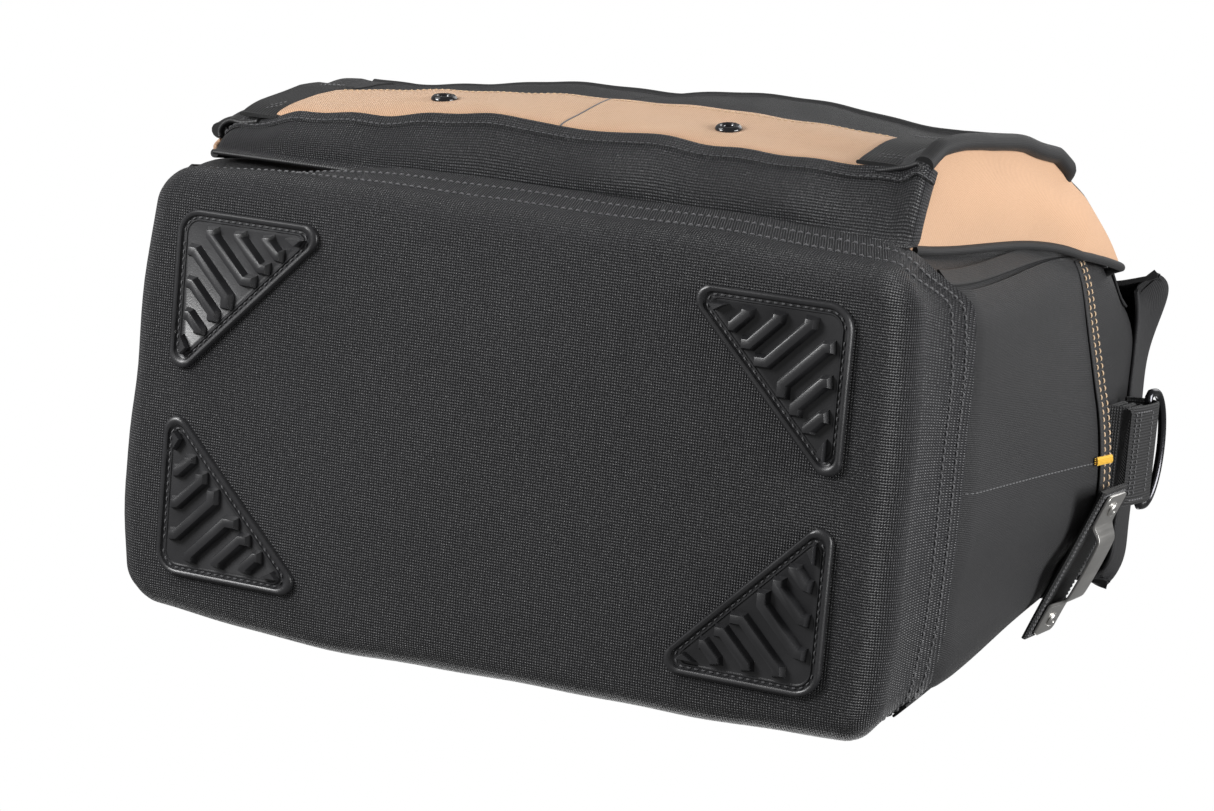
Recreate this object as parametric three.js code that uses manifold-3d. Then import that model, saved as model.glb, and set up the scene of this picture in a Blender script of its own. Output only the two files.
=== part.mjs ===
// Soft work bag with a rubber-footed base boot, tan-trimmed front pockets, bulging end pockets and a
// zipped top that opens as two flaps. Millimetres, +Z up, +X to the clip end, front pockets on -Y.
import * as THREE from 'three';
import { mergeVertices } from 'three/addons/utils/BufferGeometryUtils.js';
import Module from 'manifold-3d';

const wasm = await Module();
wasm.setup();

// ---------------------------------------------------------------- driving dimensions
const GAP = 0.3;                 // clearance between pieces that touch
const WALL = 3;                  // fabric wall, with its lining
const FLOOR_Z = 6;               // underside of the boot, above the foot lugs
const BOOT_TOP = 40;             // hem of the base boot
const CREASE_Z = 300;            // top edge of the body walls
const BASE_HALF_X = 203;
const BASE_HALF_Y = 111;
const TOP_HALF_Y = 76;           // the body narrows to this at the crease
const BELLY_X = 208;             // half length of the body above the boot

const FOOT = {
  leg: 86, cornerX: 175, cornerY: 88.5, plate: 3.2, lug: 2.8,
  lugs: 6, lugPitch: 11.2, lugWidth: 5.4, edge: 9, clearCorner: 25,
};

const POCKET = {
  halfX: 183, floorIn: 33, bottom: 50, bandTop: 100, top: 178,
  bottomY: 145, bandY: 156, topY: 159, thick: 3, corner: 14, cornerTop: 172,
};
const GUSSET = { flare: 20, bulge: 7, topOut: 172, topIn: 248 };
const STRAP = { inner: 150.5, outer: 172.5, bottom: 50, top: 118 };
const EYELET = { x: 75, z: 73, hole: 3, outer: 6.4 };
const END_POCKET = { bottom: 44, top: 215, reach: 228, drop: 44, halfY: 92, power: 2.2, thick: 2.5 };
const CLIP = { width: 25, length: 79, thick: 1.6, rise: 8, z: 198, y: 44, stand: 1.8 };
const TAB = { halfY: 25, bottom: 256, top: 291, thick: 9, pivotX: 221, pivotZ: 284 };
const RING = { wire: 2.1, reach: 20, tilt: 1.45 };
const LID = { halfX: 160, ridge: 331, thick: 3, seamY: 8.5 };
const ZIP = { tape: 1.2, coil: 2.2, coilY: 3.2 };
const SLIDER = { x0: 190, x1: 204, halfY: 5.5, height: 3.4 };
const HANDLE = { halfX: 72, width: 25, thick: 5, y: 25, height: 112, corner: 34, base: 337.5, patch: 2 };

const COLOUR = {
  ballistic: 0x202022, poly: 0x303134, tan: 0xc99f72, webbing: 0x1b1b1d, rubber: 0x232323,
  steel: 0xb9b7b4, dark: 0x17171a, board: 0x2a2a2a, lining: 0x4a4a4e,
};

// ---------------------------------------------------------------- helpers
const bag = new THREE.Group();
const mix = THREE.MathUtils.lerp;
const clamp01 = (t) => THREE.MathUtils.clamp(t, 0, 1);

function add(name, geometry, colour, metalness = 0) {
  const material = new THREE.MeshStandardMaterial({ color: colour, roughness: metalness ? 0.35 : 0.85, metalness });
  const mesh = new THREE.Mesh(geometry, material);
  mesh.name = name;
  bag.add(mesh);
  return mesh;
}

// A closed mesh from points and triangles, turned so that its faces point out.
function closed(points, triangles) {
  let volume = 0;
  for (const [a, b, c] of triangles) {
    volume += points[a].dot(new THREE.Vector3().crossVectors(points[b], points[c]));
  }
  const geometry = new THREE.BufferGeometry().setFromPoints(points);
  geometry.setIndex(triangles.flatMap(([a, b, c]) => (volume > 0 ? [a, b, c] : [a, c, b])));
  return geometry;
}

// Joins equal rings of points in order. The first and last are closed with flat caps, or joined to each other.
function loft(rings, joined = false) {
  const count = rings[0].length;
  const points = rings.flat();
  const triangles = [];
  for (let r = 0; r + 1 < rings.length + joined; r++) {
    const next = (r + 1) % rings.length;
    for (let i = 0; i < count; i++) {
      const j = (i + 1) % count;
      const [a, b, c, d] = [r * count + i, r * count + j, next * count + j, next * count + i];
      triangles.push([a, b, c], [a, c, d]);
    }
  }
  const last = (rings.length - 1) * count;
  for (let i = 1; i + 1 < count && !joined; i++) {
    triangles.push([0, i + 1, i], [last, last + i, last + i + 1]);
  }
  return closed(points, triangles);
}

// A sheet of material between an outer and an inner surface, each a function of u and v from 0 to 1.
function sheet(outer, inner, across, up) {
  const points = [];
  const triangles = [];
  for (const surface of [outer, inner]) {
    for (let j = 0; j <= up; j++) {
      for (let i = 0; i <= across; i++) points.push(surface(i / across, j / up));
    }
  }
  const row = across + 1;
  const back = row * (up + 1);
  const quad = (a, b, c, d) => triangles.push([a, b, c], [a, c, d]);
  for (let j = 0; j < up; j++) {
    for (let i = 0; i < across; i++) {
      const a = j * row + i;
      quad(a, a + 1, a + row + 1, a + row);
      quad(back + a, back + a + row, back + a + row + 1, back + a + 1);
    }
    quad(j * row, (j + 1) * row, back + (j + 1) * row, back + j * row);
    const e = j * row + across;
    quad(e, back + e, back + e + row, e + row);
  }
  for (let i = 0; i < across; i++) {
    quad(i, back + i, back + i + 1, i + 1);
    const t = up * row + i;
    quad(t, t + 1, back + t + 1, back + t);
  }
  return closed(points, triangles);
}

// A round bar along a flat closed loop of points, in the plane with the given normal.
function ringBar(loop, normal, radius, sides = 8) {
  const points = [];
  const triangles = [];
  loop.forEach((p, i) => {
    const along = loop[(i + 1) % loop.length].clone().sub(loop[(i + loop.length - 1) % loop.length]).normalize();
    const out = new THREE.Vector3().crossVectors(along, normal);
    for (let s = 0; s < sides; s++) {
      const angle = 2 * Math.PI * s / sides;
      points.push(p.clone().addScaledVector(out, radius * Math.cos(angle)).addScaledVector(normal, radius * Math.sin(angle)));
    }
  });
  const total = points.length;
  for (let i = 0; i < loop.length; i++) {
    for (let s = 0; s < sides; s++) {
      const a = i * sides + s;
      const b = i * sides + (s + 1) % sides;
      triangles.push([a, b, (b + sides) % total], [a, (b + sides) % total, (a + sides) % total]);
    }
  }
  return closed(points, triangles);
}

// A flat outline pushed along an axis: 'x', 'y' or 'z'. Outline points are the other two axes in order.
function prism(axis, outline, from, to, holes = []) {
  const shape = new THREE.Shape(outline.map(([a, b]) => new THREE.Vector2(a, b)));
  for (const hole of holes) shape.holes.push(new THREE.Path(hole.map(([a, b]) => new THREE.Vector2(a, b))));
  const geometry = new THREE.ExtrudeGeometry(shape, { depth: to - from, bevelEnabled: false });
  const basis = {
    x: [[0, 1, 0], [0, 0, 1], [1, 0, 0]],
    y: [[1, 0, 0], [0, 0, 1], [0, 1, 0]],
    z: [[1, 0, 0], [0, 1, 0], [0, 0, 1]],
  }[axis].map((v) => new THREE.Vector3(...v));
  const turned = new THREE.Matrix4().makeBasis(...basis).multiply(new THREE.Matrix4().makeTranslation(0, 0, from));
  const position = geometry.getAttribute('position');
  const points = [];
  for (let i = 0; i < position.count; i++) points.push(new THREE.Vector3().fromBufferAttribute(position, i).applyMatrix4(turned));
  return closed(points, [...Array(points.length / 3).keys()].map((k) => [3 * k, 3 * k + 1, 3 * k + 2]));
}

const box = (x0, x1, y0, y1, z0, z1) => prism('z', [[x0, y0], [x1, y0], [x1, y1], [x0, y1]], z0, z1);

function solid(geometry) {
  const bare = new THREE.BufferGeometry();
  bare.setAttribute('position', geometry.getAttribute('position').clone());
  if (geometry.index) bare.setIndex(geometry.index.clone());
  const merged = mergeVertices(bare, 1e-4);
  return new wasm.Manifold(new wasm.Mesh({
    numProp: 3,
    vertProperties: new Float32Array(merged.getAttribute('position').array),
    triVerts: new Uint32Array(merged.index.array),
  }));
}

function fromSolid(manifold) {
  const mesh = manifold.getMesh();
  const geometry = new THREE.BufferGeometry();
  geometry.setAttribute('position', new THREE.BufferAttribute(new Float32Array(mesh.vertProperties), 3));
  geometry.setIndex([...mesh.triVerts]);
  return geometry;
}

const mirrorX = (p) => new THREE.Vector3(-p.x, p.y, p.z);
const sided = (side, surface) => (u, v) => (side > 0 ? surface(u, v) : mirrorX(surface(u, v)));

// ---------------------------------------------------------------- body shape
const ARC_STEPS = 6;

// Half length, half depth and corner radius of the body at a height.
function bodySize(z) {
  const up = clamp01((z - BOOT_TOP) / (CREASE_Z - BOOT_TOP));
  return { a: BELLY_X - 3 * up * up, b: mix(BASE_HALF_Y, TOP_HALF_Y, up ** 1.1), r: mix(32, 24, up) };
}

// How far a rounded corner lets a wall reach, at a place across the wall.
const roundedReach = (half, across, r, place) => {
  const into = Math.max(Math.abs(place) - (across - r), 0);
  return half - r + Math.sqrt(Math.max(r * r - into * into, 0));
};

// Outer x of the end wall at a place across it, and outer depth of the front and back walls.
function wallX(y, z) {
  const { a, b, r } = bodySize(z);
  return roundedReach(a, b, r, y);
}

function wallY(x, z) {
  const { a, b, r } = bodySize(z);
  return roundedReach(b, a, r, x);
}

// A horizontal rounded rectangle, from the front right corner round to the front left one.
function roundedRing({ a, b, r }, z, inset = 0) {
  const ring = [];
  const radius = Math.max(r - inset, 2);
  for (let corner = 0; corner < 4; corner++) {
    const cx = (corner === 0 || corner === 1 ? 1 : -1) * (a - inset - radius);
    const cy = (corner === 1 || corner === 2 ? 1 : -1) * (b - inset - radius);
    for (let k = 0; k <= ARC_STEPS; k++) {
      const angle = Math.PI / 2 * (corner - 1 + k / ARC_STEPS);
      ring.push(new THREE.Vector3(cx + radius * Math.cos(angle), cy + radius * Math.sin(angle), z));
    }
  }
  return ring;
}

// The boot is a stiffened bottom panel inside the foot of a wall of the same cloth.
function addBoot() {
  const lower = { a: BASE_HALF_X - 8, b: BASE_HALF_Y - 8, r: 24 };
  const edge = { a: BASE_HALF_X - 2, b: BASE_HALF_Y - 2, r: 30 };
  const grown = ({ a, b, r }, by) => ({ a: a + by, b: b + by, r: r + by });
  const hem = bodySize(BOOT_TOP);
  const panelTop = FLOOR_Z + 3.5;
  add('base_panel', loft([roundedRing(lower, FLOOR_Z), roundedRing(grown(lower, 4.2), panelTop)]), COLOUR.ballistic);
  const rings = [
    roundedRing(grown(lower, 4.5), panelTop + GAP),
    roundedRing(edge, FLOOR_Z + 5),
    roundedRing({ a: BASE_HALF_X + 1, b: BASE_HALF_Y, r: 32 }, FLOOR_Z + 14),
    roundedRing(hem, BOOT_TOP),
    roundedRing(hem, BOOT_TOP, WALL),
    roundedRing({ a: BASE_HALF_X + 1, b: BASE_HALF_Y, r: 32 }, FLOOR_Z + 14, WALL),
    roundedRing(grown(lower, 4.5), panelTop + GAP, WALL),
  ];
  add('boot_wall', loft(rings, true), COLOUR.ballistic);
  const board = roundedRing(lower, 0, WALL + 4);
  const lift = (z) => board.map((p) => new THREE.Vector3(p.x, p.y, z));
  add('base_board', loft([lift(panelTop + GAP), lift(panelTop + GAP + 3)]), COLOUR.board);
}

// One wall panel: the ring's points from one corner's middle to the next, from the boot to the crease.
function addPanel(name, firstIndex, colour) {
  const perCorner = ARC_STEPS + 1;
  const steps = perCorner;
  const surface = (inset) => (u, v) => {
    const z = mix(BOOT_TOP + GAP, CREASE_Z, v);
    const ring = roundedRing(bodySize(z), z, inset);
    const place = mix(0.03, steps - 0.03, u);
    const i = Math.floor(place);
    const at = (k) => ring[(firstIndex + k) % ring.length];
    return at(i).clone().lerp(at(i + 1), place - i);
  };
  add(name, sheet(surface(0), surface(WALL), steps * 2, 5), colour);
}

function addInnerPocket() {
  const surface = (off) => (u, v) => {
    const z = mix(60, 190, v);
    const y = bodySize(z).b - WALL - off * mix(0.12, 1, clamp01(v * 4)) - 0.8;
    return new THREE.Vector3(mix(-150, 150, u), y, z);
  };
  add('inner_pocket', sheet(surface(14), surface(12), 4, 5), COLOUR.lining);
}

// ---------------------------------------------------------------- rubber feet
function footOutline(leg, round) {
  // Right triangle with its right angle at the origin and rounded corners, legs along +x and +y.
  const corners = [[0, 0, round.square, Math.PI, 1.5 * Math.PI], [leg, 0, round.acute, 1.5 * Math.PI, 2.25 * Math.PI],
    [0, leg, round.acute, 0.25 * Math.PI, Math.PI]];
  const outline = [];
  for (const [x, y, radius, from, to] of corners) {
    const cut = radius / Math.tan(Math.PI / 8);
    const cx = x === 0 ? radius : leg - cut;
    const cy = y === 0 ? radius : leg - cut;
    for (let k = 0; k <= 4; k++) {
      const angle = mix(from, to, k / 4);
      outline.push([cx + radius * Math.cos(angle), cy + radius * Math.sin(angle)]);
    }
  }
  return outline;
}

function footGeometry(signX, signY) {
  const place = ([x, y]) => [signX * (FOOT.cornerX - x), signY * (FOOT.cornerY - y)];
  const top = FLOOR_Z - GAP;
  const bottom = FLOOR_Z - FOOT.plate;
  const outline = footOutline(FOOT.leg, { square: 12, acute: 5 }).map(place);
  let foot = solid(prism('z', outline, bottom, top));
  // Tread bars run from the corner towards the long edge, mirrored about the corner's bisector.
  const turned = (across, out) => place([(out - across) / Math.SQRT2, (out + across) / Math.SQRT2]);
  for (let k = 0; k < FOOT.lugs; k++) {
    const middle = (k - (FOOT.lugs - 1) / 2) * FOOT.lugPitch;
    const near = Math.max(Math.abs(middle) + FOOT.edge * Math.SQRT2 + FOOT.lugWidth / 2, FOOT.clearCorner);
    const far = FOOT.leg / Math.SQRT2 - FOOT.edge;
    const half = FOOT.lugWidth / 2;
    const bar = [turned(middle - half, near), turned(middle + half, near), turned(middle + half, far), turned(middle - half, far)];
    foot = foot.add(solid(prism('z', bar, bottom - FOOT.lug, bottom + 0.5)));
  }
  return fromSolid(foot);
}

function addFeet() {
  for (const [name, sx, sy] of [['front_right', 1, -1], ['front_left', -1, -1], ['back_right', 1, 1], ['back_left', -1, 1]]) {
    add(`foot_${name}`, footGeometry(sx, sy), COLOUR.rubber);
  }
}

// ---------------------------------------------------------------- front pockets
// Depth of the pocket face at a height, before its corners are rounded.
function pocketDepth(z) {
  const low = mix(POCKET.bottomY, POCKET.bandY, clamp01((z - POCKET.bottom) / (POCKET.bandTop - POCKET.bottom)) ** 0.7);
  return low + (POCKET.topY - POCKET.bandY) * clamp01((z - POCKET.bandTop) / 60);
}

const sideX = (z) => POCKET.halfX + GUSSET.flare * clamp01((z - POCKET.bottom) / 150);

// The pocket's upright corner is tighter near its floor, where the strap ends close to it.
const cornerRadius = (z) => Math.min(POCKET.corner, sideX(z) - STRAP.outer - 3 * GAP);

// Pocket face: x in the bag, z the height, inset measured into the pocket.
const facePoint = (x, z, inset) => new THREE.Vector3(x, -(pocketDepth(z) - inset), z);

function faceSheet(side, x0, x1, z0, z1, across, up) {
  const surface = (inset) => sided(side, (u, v) => facePoint(mix(x0, x1, u), mix(z0, z1, v), inset));
  return sheet(surface(0), surface(POCKET.thick), across, up);
}

function addPocketSide(side, word) {
  const eyeletHole = prism('y', circle(EYELET.x * side, EYELET.z, EYELET.outer - 0.6), -180, -120);
  const band = faceSheet(side, GAP, STRAP.inner - GAP, POCKET.bottom, POCKET.bandTop, 4, 5);
  add(`tan_band_${word}`, fromSolid(solid(band).subtract(solid(eyeletHole))), COLOUR.tan);

  add(`strap_${word}`, faceSheet(side, STRAP.inner, STRAP.outer, STRAP.bottom, STRAP.top, 1, 5), COLOUR.webbing);

  // The upper face stops at the strap, and a narrow strip above the strap joins it to the corner.
  const face = solid(faceSheet(side, GAP, STRAP.outer, POCKET.bandTop + GAP, POCKET.top, 6, 4));
  const strapSlot = prism('y', [
    [side * (STRAP.inner - GAP), 90], [side * 200, 90], [side * 200, STRAP.top + GAP], [side * (STRAP.inner - GAP), STRAP.top + GAP],
  ], -180, -120);
  add(`pocket_face_${word}`, fromSolid(face.subtract(solid(strapSlot))), COLOUR.poly);

  // Corner: turns from the face to the gusset.
  const cornerStart = STRAP.outer + GAP;
  const corner = (inset) => sided(side, (u, v) => {
    const z = mix(POCKET.bottom, POCKET.cornerTop, v);
    const radius = cornerRadius(z);
    const centre = new THREE.Vector2(sideX(z) - radius, -(pocketDepth(z) - radius));
    const turn = clamp01((u - 0.25) / 0.75) * Math.PI / 2;
    const reach = radius - inset;
    const x = centre.x + reach * Math.sin(turn);
    const y = centre.y - reach * Math.cos(turn);
    return new THREE.Vector3(u < 0.25 ? mix(cornerStart, centre.x, u / 0.25) : x, y, z);
  });
  add(`pocket_corner_${word}`, sheet(corner(0), corner(POCKET.thick), 8, 4), COLOUR.ballistic);

  // Gusset: from the corner back to the body, its mouth rising towards the body.
  const gusset = (inset) => sided(side, (u, v) => {
    const z = mix(POCKET.bottom, mix(GUSSET.topOut, GUSSET.topIn, u), v);
    const front = -(pocketDepth(z) - cornerRadius(z)) + 3 * GAP;
    const back = -(wallY(sideX(z) - POCKET.thick, z) + 1.5);
    const bulge = GUSSET.bulge * Math.sin(Math.PI * u) * Math.sin(Math.PI * clamp01(v * 0.8 + 0.1));
    return new THREE.Vector3(sideX(z) + bulge - inset, mix(front, back, u), z);
  });
  add(`pocket_gusset_${word}`, sheet(gusset(0), gusset(POCKET.thick), 6, 6), COLOUR.tan);
}

function addPocketFloor() {
  const surface = (drop) => (u, v) => {
    const x = mix(-POCKET.halfX + 1, POCKET.halfX - 1, u);
    const edge = 1 - 0.08 * Math.abs(2 * u - 1) ** 6;
    const y = -mix(bodySize(POCKET.floorIn).b + 1.5, (POCKET.bottomY - 1) * edge, v);
    return new THREE.Vector3(x, y, mix(POCKET.floorIn, POCKET.bottom - GAP - 3, v) + 3 - drop);
  };
  add('pocket_floor', sheet(surface(0), surface(3), 10, 3), COLOUR.ballistic);
  const wall = (z) => -(bodySize(z).b + 0.6);
  const low = POCKET.bottom + 4;
  const high = POCKET.top - 12;
  const reach = (z) => -(pocketDepth(z) - POCKET.thick - 0.6);
  add('pocket_divider', prism('x', [[wall(low), low], [reach(low), low], [reach(high), high], [wall(high), high]],
    -1, 1), COLOUR.lining);
}

function circle(cx, cy, radius, steps = 16) {
  return [...Array(steps).keys()].map((k) => {
    const angle = 2 * Math.PI * k / steps;
    return [cx + radius * Math.cos(angle), cy + radius * Math.sin(angle)];
  });
}

function addEyelet(side, word) {
  // A rolled ring seated in the band, on the band's slope.
  const section = [[EYELET.hole, -2.6], [EYELET.outer - 2.4, -2.6], [EYELET.outer - 2.4, 1.9],
    [EYELET.outer, 1.9], [EYELET.outer - 0.6, 3.1], [EYELET.hole + 0.8, 3.1], [EYELET.hole, 2.2], [EYELET.hole, -2.6]];
  const profile = section.map(([r, h]) => new THREE.Vector2(r, h));
  const eyelet = add(`eyelet_${word}`, new THREE.LatheGeometry(profile, 20), COLOUR.dark, 0.8);
  const slope = Math.atan2(pocketDepth(EYELET.z + 6) - pocketDepth(EYELET.z - 6), 12);
  eyelet.rotation.x = Math.PI + slope;
  const surface = pocketDepth(EYELET.z) - 0.9;
  eyelet.position.set(side * EYELET.x, -surface, EYELET.z);
}

// ---------------------------------------------------------------- end pockets
// Outer surface of the end pocket: it leaves the wall at the boot and bulges to its open mouth.
function endPocketX(y, z) {
  const up = clamp01((z - END_POCKET.bottom) / (END_POCKET.top - END_POCKET.bottom));
  const belly = mix(BELLY_X + 5, END_POCKET.reach, up ** 0.8);
  const bulged = belly - END_POCKET.drop * Math.abs(y / END_POCKET.halfY) ** END_POCKET.power * mix(0.45, 1, up);
  return Math.max(bulged, wallX(y, z) + END_POCKET.thick + 2);
}

function addEndPocket(side, word) {
  const surface = (inset) => sided(side, (u, v) => {
    const z = mix(END_POCKET.bottom, END_POCKET.top, v);
    const half = bodySize(z).b - mix(15, 12, v);
    const y = mix(-half, half, u);
    return new THREE.Vector3(endPocketX(y, z) - inset, y, z);
  });
  add(`end_pocket_${word}`, sheet(surface(0), surface(END_POCKET.thick), 14, 6), COLOUR.poly);
}


// ---------------------------------------------------------------- tape clip on the right end pocket
function addClip() {
  const middle = CLIP.y;
  const slope = Math.atan2(endPocketX(middle - 36, CLIP.z) - endPocketX(middle + 36, CLIP.z), 72);
  const base = endPocketX(middle, CLIP.z);
  const place = (mesh) => {
    mesh.rotation.z = slope;
    mesh.position.set(base + CLIP.stand, middle, CLIP.z);
    return mesh;
  };
  const half = CLIP.length / 2;
  place(add('clip_webbing', box(0, 2.2, -half - 2, half + 2, -19, 15), COLOUR.webbing));
  const low = 2.2 + GAP;
  const t = CLIP.thick;
  const foot = 17;
  const ramp = 8;
  const profile = [
    [low, -half], [low, -half + foot], [low + CLIP.rise, -half + foot + ramp], [low + CLIP.rise, half - foot - ramp],
    [low, half - foot], [low, half], [low + t, half], [low + t, half - foot], [low + t + CLIP.rise, half - foot - ramp + 1],
    [low + t + CLIP.rise, -half + foot + ramp - 1], [low + t, -half + foot], [low + t, -half],
  ];
  let clip = solid(prism('z', profile, -CLIP.width / 2, CLIP.width / 2));
  for (const end of [-1, 1]) {
    const y = end * (half - 8);
    clip = clip.subtract(solid(prism('x', circle(y, 0, 2.6), -1, 12)));
  }
  place(add('tape_clip', fromSolid(clip), COLOUR.steel, 0.9));
  for (const [word, end] of [['front', -1], ['back', 1]]) {
    const y = end * (half - 8);
    const stud = [[0, low + 0.05], [2.2, low + 0.05], [2.2, low + t + GAP], [3.8, low + t + GAP], [3.2, low + t + 1.4], [0, low + t + 1.8]];
    const rivet = new THREE.LatheGeometry(stud.map(([r, h]) => new THREE.Vector2(r, h)), 16);
    rivet.rotateZ(-Math.PI / 2);
    rivet.translate(0, y, 0);
    place(add(`clip_rivet_${word}`, rivet, COLOUR.steel, 0.9));
  }
}

// ---------------------------------------------------------------- strap ring and its tab
function addRing(side, word) {
  // Folded webbing tab with a channel for the ring's straight bar.
  const { thick, pivotX, pivotZ } = TAB;
  const outline = [[pivotX - 11, TAB.top - 3], [pivotX - 8, TAB.top + 1], [pivotX + 1, TAB.top + 1], [pivotX + 5, pivotZ + 4],
    [pivotX + 6, pivotZ - 3], [pivotX + 4.5, TAB.bottom + 6], [pivotX + 2, TAB.bottom], [pivotX + 2 - thick, TAB.bottom + 2],
    [pivotX - 7, pivotZ - 10]];
  const across = (points) => points.map(([x, z]) => [side * x, z]);
  const tab = prism('y', across(outline), -TAB.halfY, TAB.halfY, [across(circle(pivotX, pivotZ, RING.wire + 0.5, 12))]);
  add(`ring_tab_${word}`, tab, COLOUR.webbing);

  // D-shaped ring, standing up and out from the tab.
  const half = TAB.halfY + RING.wire + 1.5;
  const out = new THREE.Vector3(side * Math.cos(RING.tilt), 0, Math.sin(RING.tilt));
  const sideways = new THREE.Vector3(0, 1, 0);
  const centre = new THREE.Vector3(side * pivotX, 0, pivotZ);
  const flat = [];
  for (const s of [-0.9, -0.45, 0, 0.45, 0.9]) flat.push([s * half, 0]);
  for (let k = 0; k <= 12; k++) {
    const angle = Math.PI * k / 12;
    flat.push([half * Math.cos(angle), 6 + (RING.reach - 6) * Math.sin(angle)]);
  }
  const loop = flat.map(([y, d]) => centre.clone().addScaledVector(sideways, y).addScaledVector(out, d));
  const normal = new THREE.Vector3().crossVectors(sideways, out).normalize();
  add(`d_ring_${word}`, ringBar(loop, normal, RING.wire), COLOUR.dark, 0.8);
}

// ---------------------------------------------------------------- zipped top
// Cross-section of the closed top, from the front crease to the middle, as [y, z].
const TOP_PROFILE = [[-TOP_HALF_Y, CREASE_Z + GAP + 0.2], [-TOP_HALF_Y + 4, CREASE_Z + 13], [-TOP_HALF_Y + 14, CREASE_Z + 25],
  [-TOP_HALF_Y + 30, LID.ridge], [-LID.seamY, LID.ridge]];

function inward([y, z], i) {
  const step = [[LID.thick, 0], [LID.thick, -0.8], [2.2, -2.4], [0.6, -LID.thick], [0, -LID.thick]][i];
  return [y + step[0], z + step[1]];
}

function addTopEnd(side, word) {
  const half = TOP_PROFILE.slice(0, 4);
  const dome = (points) => [...points, ...points.map(([y, z]) => [-y, z]).reverse()];
  const from = side > 0 ? LID.halfX + GAP : -BELLY_X + 2;
  const to = side > 0 ? BELLY_X - 2 : -LID.halfX - GAP;
  const shell = solid(prism('x', dome(half), from, to));
  const hollow = dome(half.map(inward).map(([y, z], i) => [y, i === 0 ? z - 2 : z]));
  const inner = solid(prism('x', hollow, side > 0 ? from - 1 : from + LID.thick, side > 0 ? to - LID.thick : to + 1));
  add(`top_end_${word}`, fromSolid(shell.subtract(inner)), COLOUR.poly);
  const z = LID.ridge + GAP;
  const strip = [[-LID.seamY, z], [LID.seamY, z], [LID.seamY, z + ZIP.tape], [ZIP.coilY, z + ZIP.tape],
    [ZIP.coilY, z + ZIP.tape + ZIP.coil], [-ZIP.coilY, z + ZIP.tape + ZIP.coil], [-ZIP.coilY, z + ZIP.tape], [-LID.seamY, z + ZIP.tape]];
  add(`zipper_end_${word}`, prism('x', strip, from + 0.2, to - 0.2), COLOUR.dark);
}

function addLid(side, word) {
  // side -1 is the front half, which hinges on the front crease.
  const turn = ([y, z]) => [-side * y, z];
  const outer = TOP_PROFILE;
  const inner = TOP_PROFILE.map(inward);
  const outline = [...outer, ...inner.reverse()].map(turn);
  add(`lid_${word}`, prism('x', outline, -LID.halfX, LID.halfX), COLOUR.poly);

  const low = LID.ridge - LID.thick + 0.2;
  const top = LID.ridge + GAP + ZIP.tape;
  const tape = [[-LID.seamY + GAP, low], [-GAP, low], [-GAP, top + ZIP.coil], [-ZIP.coilY, top + ZIP.coil], [-ZIP.coilY, top],
    [-LID.seamY + GAP, top]].map(turn);
  add(`zipper_${word}`, prism('x', tape, -LID.halfX + 0.2, LID.halfX - 0.2), COLOUR.dark);

  // Steel mouth frame under the flap: up from the crease at both ends and along the zip.
  const rod = 2;
  const under = LID.ridge - LID.thick - rod - 1.4;
  const run = [[-TOP_HALF_Y + 8.5, CREASE_Z + 5], [-TOP_HALF_Y + 11, CREASE_Z + 12.5], [-TOP_HALF_Y + 20, CREASE_Z + 20],
    [-TOP_HALF_Y + 33, under], [-LID.seamY - 7, under]].map(turn);
  const ends = LID.halfX - 8;
  const path = [...run.map(([y, z]) => [-ends, y, z]), ...run.map(([y, z]) => [ends, y, z]).reverse()];
  const curve = new THREE.CatmullRomCurve3(path.map((p) => new THREE.Vector3(...p)), false, 'catmullrom', 0.05);
  const section = new THREE.Shape(circle(0, 0, rod, 8).map(([x, y]) => new THREE.Vector2(x, y)));
  add(`mouth_frame_${word}`, new THREE.ExtrudeGeometry(section, { steps: 60, extrudePath: curve }), COLOUR.steel, 0.8);
}

function addSlider() {
  const z = LID.ridge + GAP + ZIP.tape + ZIP.coil + GAP;
  const { x0, x1, halfY, height } = SLIDER;
  const body = solid(prism('z', [[x0, -3.5], [x0 + 5, -halfY], [x1, -halfY], [x1, halfY], [x0 + 5, halfY], [x0, 3.5]], z, z + height * 0.5));
  const bridge = [[x0 + 2, z], [x0 + 4, z + height], [x1 - 3, z + height], [x1 - 1, z]];
  add('zipper_slider', fromSolid(body.add(solid(prism('y', bridge, -1.5, 1.5)))), COLOUR.dark, 0.8);
  const low = z + height + 2 * GAP;
  const pull = [[x0 - 26, -4], [x0 - 24, -5.5], [x0 + 4, -4], [x0 + 6, -2.5], [x0 + 6, 2.5], [x0 + 4, 4], [x0 - 24, 5.5], [x0 - 26, 4]];
  add('zipper_pull', prism('z', pull, low, low + 2, [circle(x0 - 20, 0, 2, 10)]), COLOUR.dark, 0.8);
}

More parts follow.
